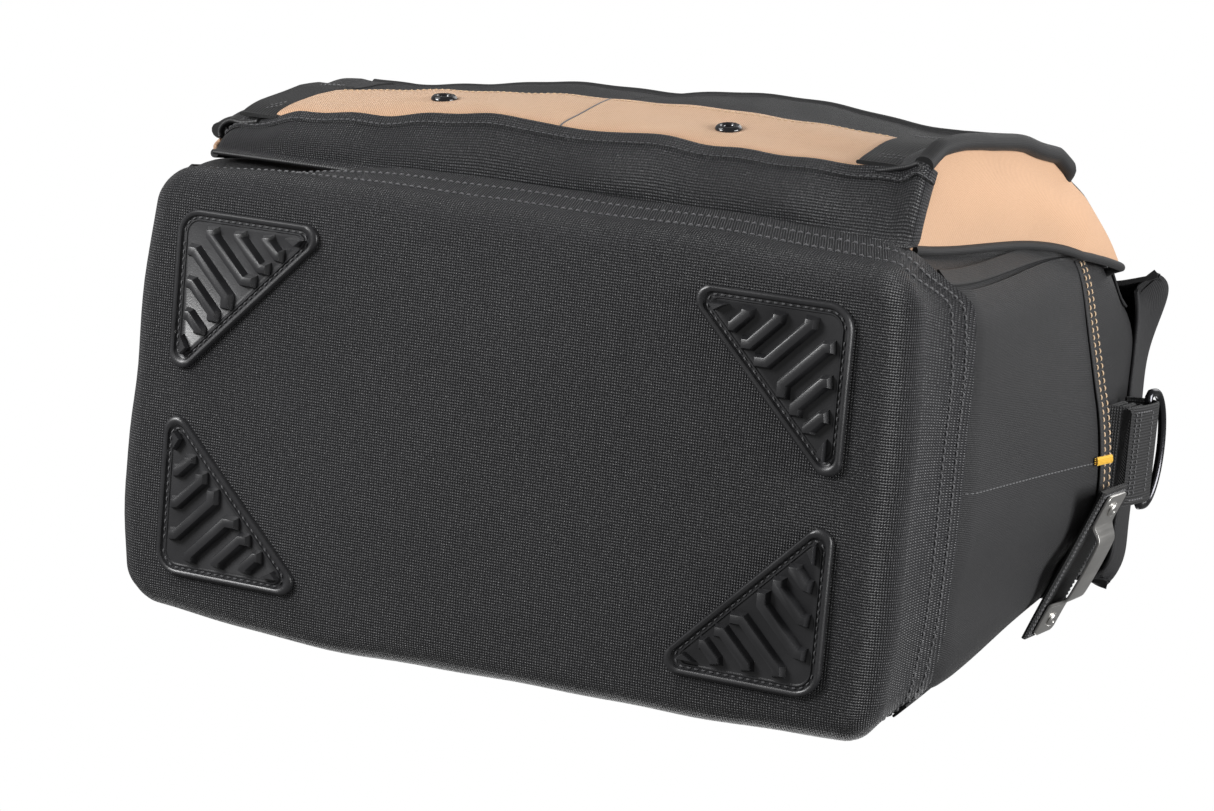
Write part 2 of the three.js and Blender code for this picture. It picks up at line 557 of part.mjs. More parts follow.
// ---------------------------------------------------------------- carry handles
function addHandle(side, word) {
  const { halfX, width, thick, y, height, corner, base, patch } = HANDLE;
  const arch = (grow) => {
    const points = [];
    const reach = halfX + grow;
    const radius = corner + grow;
    const top = base + height + grow;
    for (const s of [1, -1]) {
      const turn = [];
      for (let k = 0; k <= 6; k++) {
        const angle = Math.PI / 2 * k / 6;
        turn.push([s * (reach - radius + radius * Math.cos(angle)), top - radius + radius * Math.sin(angle)]);
      }
      points.push(...(s > 0 ? turn : turn.reverse()));
    }
    return points;
  };
  const outer = arch(0);
  const inner = arch(-width);
  const outline = [[halfX, base], ...outer, [-halfX, base], [-halfX + width, base], ...inner.reverse(), [halfX - width, base]];
  const middle = side * y;
  add(`handle_${word}`, prism('y', outline, middle - thick / 2, middle + thick / 2), COLOUR.webbing);
  const grip = [[-34, -3], [-34, width + 3], [34, width + 3], [34, -3]];
  const wrap = solid(prism('y', grip.map(([x, d]) => [x, base + height - d]), middle - thick / 2 - 2.5, middle + thick / 2 + 2.5));
  const core = solid(box(-40, 40, middle - thick / 2 - GAP, middle + thick / 2 + GAP, base + height - width - GAP, base + height + GAP));
  add(`handle_grip_${word}`, fromSolid(wrap.subtract(core)), COLOUR.webbing);
  for (const [end, s] of [['right', 1], ['left', -1]]) {
    const x = s * (halfX - width / 2);
    add(`handle_patch_${word}_${end}`, box(x - width / 2 - 2, x + width / 2 + 2, middle - 8, middle + 8, LID.ridge + GAP, LID.ridge + GAP + patch),
      COLOUR.webbing);
  }
}

// ---------------------------------------------------------------- assembly
addBoot();
addFeet();
const corner = ARC_STEPS + 1;
const halfCorner = ARC_STEPS / 2;
addPanel('end_panel_right', halfCorner, COLOUR.poly);
addPanel('back_panel', halfCorner + corner, COLOUR.poly);
addPanel('end_panel_left', halfCorner + 2 * corner, COLOUR.poly);
addPanel('front_panel', halfCorner + 3 * corner, COLOUR.poly);
addInnerPocket();
addPocketFloor();
for (const [side, word] of [[1, 'right'], [-1, 'left']]) {
  addPocketSide(side, word);
  addEyelet(side, word);
  addEndPocket(side, word);
  addRing(side, word);
  addTopEnd(side, word);
}
addClip();
for (const [side, word] of [[-1, 'front'], [1, 'back']]) {
  addLid(side, word);
  addHandle(side, word);
}
addSlider();

// The object's frame: middle of its own box in plan, resting on its feet.
bag.updateMatrixWorld(true);
const extent = new THREE.Box3().setFromObject(bag, true);
const centre = extent.getCenter(new THREE.Vector3());
const object = new THREE.Group();
object.add(bag);
bag.position.set(-centre.x, -centre.y, -extent.min.z);

export default object;
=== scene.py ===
"""Soft work bag: cloth, rubber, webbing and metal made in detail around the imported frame.

Lengths are millimetres in the bag's own axes (x to the clip end, front pockets on -y, z up) until
add_piece() turns them into metres in the frame."""
import math

import bmesh
import bpy
import numpy as np
from mathutils import Matrix, Vector


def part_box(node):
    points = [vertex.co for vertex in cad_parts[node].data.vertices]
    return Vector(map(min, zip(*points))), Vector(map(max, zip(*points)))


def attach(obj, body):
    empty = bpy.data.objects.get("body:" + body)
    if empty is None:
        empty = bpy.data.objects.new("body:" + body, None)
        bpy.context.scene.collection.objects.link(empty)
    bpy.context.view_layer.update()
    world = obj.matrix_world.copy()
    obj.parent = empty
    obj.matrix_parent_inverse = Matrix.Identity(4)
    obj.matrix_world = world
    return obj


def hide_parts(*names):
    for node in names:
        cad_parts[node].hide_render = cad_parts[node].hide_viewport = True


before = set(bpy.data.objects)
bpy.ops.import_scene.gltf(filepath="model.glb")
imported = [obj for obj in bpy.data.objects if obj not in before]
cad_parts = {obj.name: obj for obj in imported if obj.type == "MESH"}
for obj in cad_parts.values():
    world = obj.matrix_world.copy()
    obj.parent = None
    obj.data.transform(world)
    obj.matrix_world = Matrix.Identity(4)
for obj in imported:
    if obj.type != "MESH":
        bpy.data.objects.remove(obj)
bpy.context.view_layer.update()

# ---------------------------------------------------------------- driving sizes, from the frame
MM = 0.001
boot_low, boot_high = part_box("boot_wall")
wall_low, wall_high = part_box("front_panel")
BAG_ORIGIN = np.array([(boot_low.x + boot_high.x) / 2, (boot_low.y + boot_high.y) / 2, 0])


def in_bag(corner):
    """A frame point in the bag's millimetres."""
    return (np.array(corner) - BAG_ORIGIN) / MM


BELLY_X, BASE_HALF_Y, BOOT_TOP = in_bag(boot_high)
FLOOR_Z = in_bag(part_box("base_panel")[0])[2]
BASE_HALF_X = BELLY_X - 5
CREASE_Z = in_bag(wall_high)[2]
TOP_HALF_Y = -in_bag(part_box("lid_front")[0])[1]
LID_HALF_X = in_bag(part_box("lid_front")[1])[0]
RIDGE_Z = in_bag(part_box("lid_front")[1])[2]
POCKET_TOP = in_bag(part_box("pocket_face_right")[1])[2]
STRAP_INNER, STRAP_OUTER = 150.5, 172.5
BAND_BOTTOM, BAND_TOP = 50, 100
POCKET_HALF_X, CORNER_RADIUS, CORNER_TOP = 183, 14, 172
GUSSET_TOP = in_bag(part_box("pocket_gusset_right")[1])[2] + 9
END_BOTTOM = 44
END_TOP = in_bag(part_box("end_pocket_right")[1])[2]
END_REACH = 228
PIVOT_X, PIVOT_Z, TAB_HALF_Y = 221, 284, 25
RING_WIRE = 2.1
HANDLE_BASE, HANDLE_HALF_X, HANDLE_WIDTH = 337.5, 72, 25
HANDLE_TOP = in_bag(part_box("handle_front")[1])[2]
FOOT_LEG = 86
FOOT_CORNER = in_bag(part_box("foot_back_right")[1])
EYELET_X, EYELET_Z = 75.0, 73.0
ENDS = ((1, "right"), (-1, "left"))
UP = (0, 0, 1)


# ---------------------------------------------------------------- small maths
def mix(a, b, t):
    return a + (b - a) * t


def clamp01(t):
    return np.clip(t, 0, 1)


def smooth(t):
    t = clamp01(t)
    return t * t * (3 - 2 * t)


def unit(v):
    return v / np.maximum(np.linalg.norm(v, axis=-1, keepdims=True), 1e-9)


def stack(*parts):
    return np.stack(np.broadcast_arrays(*parts), axis=-1).astype(float)


def folds(x, y, wavelength, seed):
    """Soft random folds, about -1 to 1, the same on every run."""
    random = np.random.default_rng(seed)
    total = 0
    for _ in range(7):
        angle = random.uniform(0, math.pi)
        length = wavelength * random.uniform(0.6, 1.8)
        phase = random.uniform(0, 2 * math.pi)
        total = total + np.sin((x * math.cos(angle) + y * math.sin(angle)) * 2 * math.pi / length + phase)
    return total / 3.2


def along(points):
    """Distance along a line of points."""
    return np.concatenate([[0], np.cumsum(np.linalg.norm(np.diff(points, axis=0), axis=1))])


def interpolate(at, place, values):
    """np.interp for each of the three coordinates."""
    return np.stack([np.interp(at, place, values[:, k]) for k in range(3)], axis=-1)


def resample(points, spacing):
    """The same line at even spacing."""
    points = np.asarray(points, float)
    place = along(points)
    count = max(2, int(round(place[-1] / spacing)) + 1)
    return interpolate(np.linspace(0, place[-1], count), place, points)


def curve_through(points, spacing, rounds=4):
    """A smooth line near given points, by cutting corners, at even spacing."""
    points = np.asarray(points, float)
    for _ in range(rounds):
        a, b = points[:-1], points[1:]
        cut = np.stack([mix(a, b, 0.25), mix(a, b, 0.75)], axis=1).reshape(-1, 3)
        points = np.concatenate([points[:1], cut, points[-1:]])
    return resample(points, spacing)


# ---------------------------------------------------------------- mesh builders
# Each returns (points, faces, cloth): cloth is the place on the flat fabric in millimetres, for the weave.
def grid_faces(rows, columns, wrap_rows=False, wrap_columns=False):
    i = np.arange(rows if wrap_rows else rows - 1)
    j = np.arange(columns if wrap_columns else columns - 1)
    i, j = [k.ravel() for k in np.meshgrid(i, j, indexing="ij")]
    ni, nj = (i + 1) % rows, (j + 1) % columns
    return np.stack([i * columns + j, ni * columns + j, ni * columns + nj, i * columns + nj], axis=1).tolist()


def join(*parts):
    points, faces, cloth, offset = [], [], [], 0
    for p, f, c in parts:
        points.append(p)
        cloth.append(c)
        faces.extend([tuple(k + offset for k in face) for face in f])
        offset += len(p)
    return np.concatenate(points), faces, np.concatenate(cloth)


def mirrored(part, side):
    """The same part on the other end of the bag when side is -1."""
    points, faces, cloth = part
    if side > 0:
        return part
    return points * [-1, 1, 1], [tuple(reversed(f)) for f in faces], cloth


def cloth_grid(outer):
    """Thread lines follow the grid: x runs across it and y up it."""
    across = np.linalg.norm(np.diff(outer, axis=0), axis=2).mean(axis=1)
    up = np.linalg.norm(np.diff(outer, axis=1), axis=2).mean(axis=0)
    x = np.concatenate([[0], np.cumsum(across)])
    y = np.concatenate([[0], np.cumsum(up)])
    return stack(x[:, None], y[None, :])


def end_caps(rows, ring):
    """The faces that close the first and the last loop of a grid."""
    return [tuple(range(ring)), tuple((rows - 1) * ring + k for k in reversed(range(ring)))]


def shell(surface, across, up, thick, flip=False):
    """A layer of cloth: its outer face is surface(u, v), and its lower and upper edges are rolled round."""
    outer = surface(*np.meshgrid(np.linspace(0, 1, across + 1), np.linspace(0, 1, up + 1), indexing="ij"))
    upward = np.gradient(outer, axis=1)
    normal = unit(np.cross(np.gradient(outer, axis=0), upward)) * (-1 if flip else 1)
    inner = outer - normal * thick
    flat = cloth_grid(outer)

    def roll(j, sign):
        centre = (outer[:, j] + inner[:, j]) / 2
        away = unit(upward[:, j]) * sign
        turns = [math.pi * k / 4 for k in (1, 2, 3)]
        rings = [centre + thick / 2 * (math.cos(t) * normal[:, j] + math.sin(t) * away) for t in turns]
        return np.stack(rings if sign > 0 else rings[::-1], axis=1)

    points = np.concatenate([outer, roll(-1, 1), inner[:, ::-1], roll(0, -1)], axis=1)
    edges = [np.repeat(flat[:, j:j + 1], 3, axis=1) for j in (up, 0)]
    flat = np.concatenate([flat, edges[0], flat[:, ::-1], edges[1]], axis=1)
    rows, ring = points.shape[:2]
    faces = grid_faces(rows, ring, wrap_columns=True)
    for start in (0, (rows - 1) * ring):
        far = start + ring - 4
        cap = [(start + j, start + j + 1, far - j - 1, far - j) for j in range(up)]
        cap.append(tuple(start + up + k for k in range(5)))
        cap.append(tuple(start + k % ring for k in range(ring - 4, ring + 1)))
        faces.extend(cap if start == 0 else [tuple(reversed(f)) for f in cap])
    if not flip:
        faces = [tuple(reversed(f)) for f in faces]
    return points.reshape(-1, 3), faces, flat.reshape(-1, 2)


def sweep(path, top, profile, closed=False):
    """A section pushed along a path. profile holds (sideways, along top) pairs; top may differ per point."""
    path, profile = np.asarray(path, float), np.asarray(profile, float)
    step = np.roll(path, -1, axis=0) - np.roll(path, 1, axis=0) if closed else np.gradient(path, axis=0)
    tangent = unit(step)
    side = unit(np.cross(tangent, np.broadcast_to(np.asarray(top, float), path.shape)))
    top = np.cross(side, tangent)
    points = path[:, None] + profile[None, :, :1] * side[:, None] + profile[None, :, 1:] * top[:, None]
    around = along(np.vstack([profile, profile[:1]]))[:-1]
    rows, ring = points.shape[:2]
    faces = grid_faces(rows, ring, wrap_rows=closed, wrap_columns=True)
    if not closed:
        faces += end_caps(rows, ring)
    return points.reshape(-1, 3), faces, stack(around[None, :], along(path)[:, None]).reshape(-1, 2)


def round_section(radius_side, radius_top=None, sides=14):
    radius_top = radius_side if radius_top is None else radius_top
    turns = [2 * math.pi * k / sides for k in range(sides)]
    return [(radius_side * math.cos(t), radius_top * math.sin(t)) for t in turns]


def tape_section(width, thick, steps=10):
    """Flat woven tape with rounded edges; its underside lies at height 0."""
    half, r = width / 2 - thick / 2, thick / 2
    lower = [(mix(-half, half, k / steps), 0) for k in range(steps + 1)]
    right = [(half + r * math.cos(t), r + r * math.sin(t)) for t in (-0.8, 0, 0.8)]
    upper = [(x, thick) for x, _ in reversed(lower)]
    left = [(-x, z) for x, z in reversed(right)]
    return lower + right + upper + left


def stitches(path, top, pitch, length, width, skip=0.0):
    """A row of lock stitches: each rises out of the cloth and dips back at its ends."""
    path = resample(path, 0.5)
    place = along(path)
    top = np.asarray(top, float)
    if top.ndim == 2:
        top = interpolate(np.linspace(0, 1, len(path)), np.linspace(0, 1, len(top)), top)
    else:
        top = np.broadcast_to(top, path.shape)
    count = int((place[-1] - 2 * skip) / pitch)
    centres = skip + (np.arange(count) + 0.5) * pitch
    middle, normal = interpolate(centres, place, path), unit(interpolate(centres, place, top))
    tangent = unit(interpolate(centres + 0.3, place, path) - interpolate(centres - 0.3, place, path))
    side = np.cross(normal, tangent)
    sides, radius = 6, width / 2
    steps = np.array([-1, -0.8, -0.35, 0.35, 0.8, 1])
    thick = np.array([0.3, 0.8, 1, 1, 0.8, 0.3])[:, None] * radius
    rise = radius * (0.75 - 1.3 * steps ** 4)
    turn = np.arange(sides) * 2 * math.pi / sides
    ring = (steps * length / 2)[None, :, None, None] * tangent[:, None, None, :]
    ring = ring + (rise[:, None] + thick * np.sin(turn))[None, :, :, None] * normal[:, None, None, :]
    ring = ring + (thick * np.cos(turn))[None, :, :, None] * side[:, None, None, :]
    points = (middle[:, None, None] + ring).reshape(-1, 3)
    one = grid_faces(len(steps), sides, wrap_columns=True)
    one += [tuple(reversed(face)) for face in end_caps(len(steps), sides)]
    faces = [tuple(k + n * len(steps) * sides for k in face) for n in range(count) for face in one]
    cloth = np.zeros((len(points), 2))
    cloth[:, 1] = np.tile(np.repeat(steps * length / 2, sides), count)
    return points, faces, cloth


def loft(loops, capped=True):
    """Closed loops of equal count joined in order."""
    loops = np.asarray(loops, float)
    rows, ring = loops.shape[:2]
    points = loops.reshape(-1, 3)
    faces = grid_faces(rows, ring, wrap_columns=True) + (end_caps(rows, ring) if capped else [])
    return points, faces, points[:, :2].copy()


MATERIALS = {}


def add_piece(name, part, slot, body="bag", stands_for=(), crease=50):
    """Makes the Blender object, with its material, body and the CAD nodes it stands for."""
    points, faces, cloth = part
    mesh = bpy.data.meshes.new(name)
    mesh.from_pydata((points * MM + BAG_ORIGIN).tolist(), [], faces)
    flat = mesh.attributes.new("cloth", "FLOAT_VECTOR", "POINT")
    flat.data.foreach_set("vector", np.column_stack([cloth, np.zeros(len(cloth))]).astype(np.float32).ravel())
    mesh.validate()
    turn_outwards(mesh)
    mesh.shade_smooth()
    mesh.set_sharp_from_angle(angle=math.radians(crease))
    mesh.materials.append(MATERIALS[slot])
    piece = bpy.data.objects.new(name, mesh)
    bpy.context.scene.collection.objects.link(piece)
    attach(piece, body)
    if stands_for:
        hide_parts(*stands_for)
    return piece


def turn_outwards(mesh):
    """Makes all faces point out."""
    work = bmesh.new()
    work.from_mesh(mesh)
    bmesh.ops.recalc_face_normals(work, faces=work.faces)
    work.to_mesh(mesh)
    work.free()


# ---------------------------------------------------------------- materials
class Nodes:
    """One material's node tree, with short ways to add its nodes."""

    def __init__(self, slot):
        self.material = bpy.data.materials.new(slot)
        self.material.use_nodes = True
        self.tree = self.material.node_tree
        self.shader = self.tree.nodes["Principled BSDF"]
        MATERIALS[slot] = self.material

    def link(self, value, socket):
        if isinstance(value, bpy.types.NodeSocket):
            self.tree.links.new(value, socket)
        else:
            socket.default_value = value

    def math(self, operation, *values, clamp=False):
        node = self.tree.nodes.new("ShaderNodeMath")
        node.operation = operation
        node.use_clamp = clamp
        for value, socket in zip(values, node.inputs):
            self.link(value, socket)
        return node.outputs[0]

    def times(self, a, b):
        return self.math("MULTIPLY", a, b)

    def wave(self, place, pitch):
        """A sine that is zero at every pitch."""
        return self.math("SINE", self.times(place, math.pi / pitch))

    def blend(self, factor, a, b):
        """Mixes two colours."""
        node = self.tree.nodes.new("ShaderNodeMix")
        node.data_type = "RGBA"
        self.link(factor, node.inputs[0])
        self.link(a, node.inputs[6])
        self.link(b, node.inputs[7])
        return node.outputs[2]

    def cloth(self):
        """x and y on the flat cloth, in millimetres."""
        attribute = self.tree.nodes.new("ShaderNodeAttribute")
        attribute.attribute_name = "cloth"
        split = self.tree.nodes.new("ShaderNodeSeparateXYZ")
        self.tree.links.new(attribute.outputs["Vector"], split.inputs[0])
        return split.outputs[0], split.outputs[1], attribute.outputs["Vector"]

    def noise(self, scale, detail=2.0, vector=None, stretch=None):
        """Noise over the object, or over vector where one is given; scale is per metre or per its unit."""
        node = self.tree.nodes.new("ShaderNodeTexNoise")
        node.inputs["Scale"].default_value = scale
        node.inputs["Detail"].default_value = detail
        if vector is None:
            vector = self.tree.nodes.new("ShaderNodeTexCoord").outputs["Object"]
        if stretch:
            mapping = self.tree.nodes.new("ShaderNodeMapping")
            mapping.inputs["Scale"].default_value = stretch
            self.tree.links.new(vector, mapping.inputs["Vector"])
            vector = mapping.outputs[0]
        self.tree.links.new(vector, node.inputs["Vector"])
        return node.outputs["Fac"]

    def bump(self, height, depth, before=None):
        """Adds a bump of that depth in metres, on top of an earlier one."""
        node = self.tree.nodes.new("ShaderNodeBump")
        node.inputs["Distance"].default_value = depth
        self.link(height, node.inputs["Height"])
        if before is not None:
            self.tree.links.new(before, node.inputs["Normal"])
        return node.outputs[0]

    def finish(self, colour, roughness, normal, **plain):
        self.link(colour, self.shader.inputs["Base Color"])
        self.link(roughness, self.shader.inputs["Roughness"])
        self.tree.links.new(normal, self.shader.inputs["Normal"])
        for name, value in plain.items():
            self.shader.inputs[name.replace("_", " ")].default_value = value


def rgba(colour, factor=1.0):
    return (*[c * factor for c in colour], 1)


def threads(n, place, pitch):
    """A row of round threads across place: 0 between them and 1 on top."""
    return n.math("ABSOLUTE", n.wave(place, pitch))


def basket_height(n, x, y, pitch):
    """Plain or basket weave: warp and weft take turns on top."""
    sx, sy = n.wave(x, pitch), n.wave(y, pitch)
    warp_on_top = n.math("MULTIPLY_ADD", n.times(sx, sy), 4.0, 0.5, clamp=True)
    ax, ay = n.math("ABSOLUTE", sx), n.math("ABSOLUTE", sy)
    warp = n.times(n.math("SQRT", ax), n.math("MULTIPLY_ADD", ay, 0.6, 0.4))
    weft = n.times(n.math("SQRT", ay), n.math("MULTIPLY_ADD", ax, 0.6, 0.4))
    weft_share = n.times(weft, n.math("SUBTRACT", 1.0, warp_on_top))
    return n.math("ADD", n.times(warp, warp_on_top), weft_share)


def twill_height(n, x, y, pitch):
    """Diagonal ribs, broken into short floats."""
    rib = threads(n, n.math("ADD", x, n.times(y, 0.8)), pitch)
    floats = threads(n, n.math("SUBTRACT", x, n.times(y, 1.6)), pitch * 2.1)
    return n.times(n.math("SQRT", rib), n.math("ADD", n.times(floats, 0.35), 0.65))


def ribbed_height(n, x, y, pitch):
    """Narrow webbing: columns of slanted knots side by side."""
    column = threads(n, x, pitch)
    knots = threads(n, n.math("ADD", y, n.times(column, pitch * 0.35)), pitch * 0.9)
    return n.times(n.math("SQRT", column), n.math("ADD", n.times(knots, 0.5), 0.5))


WEAVES = {"basket": basket_height, "twill": twill_height, "ribbed": ribbed_height}


def make_fabric(slot, colour, weave, pitch, depth, dark=0.45, light=1.5, roughness=0.75, sheen=0.25,
                sheen_tint=(1, 1, 1), wrinkle=0.0012, specular=0.4, fuzz=0.3):
    n = Nodes(slot)
    x, y, flat = n.cloth()
    height = WEAVES[weave](n, x, y, pitch)
    yarn = n.noise(1.0 / pitch, 2.0, flat, (1.0, 0.35, 1.0))
    height = n.times(height, n.math("ADD", n.times(yarn, fuzz), 1 - fuzz / 2))
    wear = n.noise(9.0, 4.0)
    # The weave's height also paints the colour: thread tops are lighter and the gaps between threads darker.
    # This is painted highlight and painted shade, and dark and light set how far it goes.
    colour_here = n.blend(height, rgba(colour, dark), rgba(colour, light))
    patch = n.math("MULTIPLY", n.math("SUBTRACT", wear, 0.42, clamp=True), 0.9, clamp=True)
    colour_here = n.blend(patch, colour_here, rgba(colour, light * 1.15))
    rough_here = n.math("SUBTRACT", roughness + 0.1, n.times(height, 0.2))
    puckers = n.bump(n.noise(28.0, 3.0), wrinkle)
    normal = n.bump(height, depth * MM, puckers)
    n.finish(colour_here, rough_here, normal, Sheen_Weight=sheen, Sheen_Roughness=0.45,
             Sheen_Tint=(*sheen_tint, 1), Specular_IOR_Level=specular)


def make_thread(slot, colour):
    n = Nodes(slot)
    _, y, flat = n.cloth()
    twist = threads(n, y, 0.7)
    fibre = n.noise(3.0, 3.0, flat)
    # The colour follows the twist, with random fibre tone mixed in. The twist's ridges are painted lighter
    # and its grooves darker, as painted highlight and shade.
    shade = n.blend(n.times(twist, fibre), rgba(colour, 0.6), rgba(colour, 1.25))
    n.finish(shade, n.math("ADD", n.times(fibre, 0.2), 0.5), n.bump(twist, 0.08 * MM),
             Sheen_Weight=0.3, Specular_IOR_Level=0.4)


def make_rubber(slot, colour):
    n = Nodes(slot)
    grain = n.noise(1500.0, 3.0)
    scuff = n.noise(45.0, 5.0)
    shade = n.blend(scuff, rgba(colour, 0.7), rgba(colour, 1.5))
    rough_here = n.math("ADD", n.times(scuff, 0.25), 0.25)
    n.finish(shade, rough_here, n.bump(grain, 0.06 * MM), Specular_IOR_Level=0.55)


def make_metal(slot, colour, roughness, brush=0.0, coat=0.0, metallic=1.0):
    """Plated or painted metal; brush stretches its fine scratches."""
    n = Nodes(slot)
    scratches = n.noise(900.0, 3.0, None, (1.0, 1.0, 1.0 - brush) if brush else None)
    stain = n.noise(60.0, 3.0)
    shade = n.blend(stain, rgba(colour, 0.82), rgba(colour, 1.12))
    spread = n.math("ADD", n.times(scratches, 0.22), roughness - 0.11)
    n.finish(shade, spread, n.bump(scratches, 0.02 * MM), Metallic=metallic, Coat_Weight=coat)


def make_plastic(slot, colour, roughness):
    n = Nodes(slot)
    grain = n.noise(700.0, 3.0)
    shade = n.blend(n.noise(30.0), rgba(colour, 0.8), rgba(colour, 1.25))
    n.finish(shade, n.math("ADD", n.times(grain, 0.2), roughness - 0.1), n.bump(grain, 0.05 * MM))


BLACK = (0.0066, 0.0066, 0.0073)
CHARCOAL = (0.0092, 0.0092, 0.0101)
TAN = (0.55, 0.335, 0.205)

# slot, colour, weave, pitch and depth in millimetres
# ballistic_black's thread tops are painted up to 4.2 times lighter and its gaps down to a tenth, as painted
# highlight and shade that make its weave sparkle.
make_fabric("ballistic_black", BLACK, "basket", 1.3, 0.75, dark=0.1, light=4.2, roughness=0.42, sheen=0.02,
            specular=0.5, fuzz=0.6)
make_fabric("poly_black", CHARCOAL, "basket", 0.8, 0.26, dark=0.35, light=1.7, roughness=0.6, sheen=0.04,
            specular=0.35, wrinkle=0.002)
make_fabric("tan_fabric", TAN, "twill", 1.15, 0.28, dark=0.6, light=1.08, roughness=0.72, sheen=0.35,
            sheen_tint=(1, 0.85, 0.7))
make_fabric("webbing_black", (0.0085, 0.0085, 0.009), "ribbed", 1.5, 0.45, dark=0.4, light=1.9, roughness=0.6,
            sheen=0.03)
make_fabric("binding_black", (0.008, 0.008, 0.0085), "basket", 0.8, 0.12, dark=0.6, light=1.8, roughness=0.65,
            sheen=0.03)
make_fabric("grip_fabric", (0.010, 0.010, 0.0105), "twill", 1.1, 0.2, dark=0.5, light=1.6, roughness=0.65,
            sheen=0.04)
make_fabric("lining", (0.07, 0.07, 0.075), "basket", 0.4, 0.05, dark=0.8, light=1.2, roughness=0.6)
make_thread("thread_tan", (0.72, 0.52, 0.33))
make_thread("thread_black", (0.1, 0.1, 0.105))
make_thread("thread_yellow", (0.86, 0.50, 0.03))
make_rubber("foot_rubber", (0.018, 0.018, 0.0195))
make_plastic("base_board", (0.02, 0.02, 0.02), 0.45)
make_plastic("zipper_plastic", (0.016, 0.016, 0.017), 0.4)
make_metal("clip_steel", (0.56, 0.55, 0.53), 0.34, brush=0.97)
make_metal("frame_steel", (0.03, 0.03, 0.032), 0.4, metallic=0.6)
make_metal("eyelet_metal", (0.014, 0.014, 0.016), 0.2, coat=0.6, metallic=0.4)
make_metal("ring_metal", (0.05, 0.05, 0.055), 0.25, coat=0.3)
make_metal("slider_metal", (0.05, 0.05, 0.055), 0.28, coat=0.3)


# ---------------------------------------------------------------- body shape
FRONT_SWELL, BACK_DRAWN_IN = 22, 10
CORNER_SHARE = 0.09        # of a wall's width that each half corner takes


def body_size(z):
    """Half length, half depth and corner radius of the body at a height."""
    up = clamp01((z - BOOT_TOP) / (CREASE_Z - BOOT_TOP))
    return BELLY_X - 3 * up * up, mix(BASE_HALF_Y, TOP_HALF_Y, up ** 1.1), mix(34, 30, up)


def swell(points):
    """The front corners stand out behind the ends of the pockets; the back ones are drawn in higher up."""
    x, y, z = np.abs(points[..., 0]), points[..., 1], points[..., 2]
    near_end = smooth((x - 80) / 90)
    below_crease = 1 - 0.85 * smooth((z - 262) / 40)
    front = smooth((z - 40) / 170) * below_crease * smooth((-y - 35) / 40)
    back = mix(0.5, 1, smooth((z - 20) / 150)) * below_crease * smooth((y - 20) / 45)
    points[..., 1] -= near_end * (FRONT_SWELL * front + BACK_DRAWN_IN * back)
    return points


def rounded_reach(half, across, r, place):
    """How far a rounded corner lets a wall reach, at a place across the wall."""
    into = np.maximum(np.abs(place) - (across - r), 0)
    return half - r + np.sqrt(np.maximum(r * r - into * into, 0))


def wall_x(y, z):
    a, b, r = body_size(z)
    return rounded_reach(a, b, r, y)


def wall_y(x, z):
    a, b, r = body_size(z)
    return rounded_reach(b, a, r, x)


def around_corner(u):
    """Splits a wall's width into half a corner, a straight and half a corner: (place -1 to 1, turn)."""
    second = np.where(u > 1 - CORNER_SHARE, (u - 1 + CORNER_SHARE) / CORNER_SHARE, 0)
    turn = np.where(u < CORNER_SHARE, (u / CORNER_SHARE - 1), second) * math.pi / 4
    return np.clip(mix(-1, 1, (u - CORNER_SHARE) / (1 - 2 * CORNER_SHARE)), -1, 1), turn


def wall_point(side, u, z, out):
    """A point on one of the four walls, out from its surface. u runs from one corner's middle to the next."""
    a, b, r = body_size(z)
    place, turn = around_corner(u)
    if side in ("right", "left"):
        x = (a - r) + (r + out) * np.cos(turn)
        y = place * (b - r) + (r + out) * np.sin(turn)
        return swell(stack(x if side == "right" else -x, y, z))
    y = (b - r) + (r + out) * np.cos(turn)
    x = place * (a - r) + (r + out) * np.sin(turn)
    return swell(stack(x, y if side == "back" else -y, z))


# ---------------------------------------------------------------- base boot
BOOT_THICK = 2
BOOT_ROUND = 14            # soft edge between the bottom and the wall
END_HEM_Z, FRONT_HEM_Z = 55, 35


def ring_directions():
    """Round the bag: how far out along each half side, and the outward direction."""
    straight_x, straight_y, corner = 40, 22, 12
    k, n = [], []
    for quarter in range(4):
        steps = straight_y if quarter % 2 == 0 else straight_x
        start = math.pi / 2 * quarter
        out = np.array([math.cos(start), math.sin(start)])
        across = np.array([-out[1], out[0]])
        for i in range(steps):
            k.append(out + across * mix(-1, 1, i / steps))
            n.append(out)
        for i in range(corner):
            turn = start + math.pi / 2 * i / corner
            k.append(out + across)
            n.append([math.cos(turn), math.sin(turn)])
    return np.array(k), np.array(n)


def boot_hem(n):
    """Height of the boot's hem in each direction: high at the ends, low under the front pockets."""
    end = smooth(np.abs(n[:, 0]) * 1.6 - 0.3)
    front = smooth(-n[:, 1] * 1.6 - 0.3)
    return mix(mix(42, END_HEM_Z, end), FRONT_HEM_Z, front)


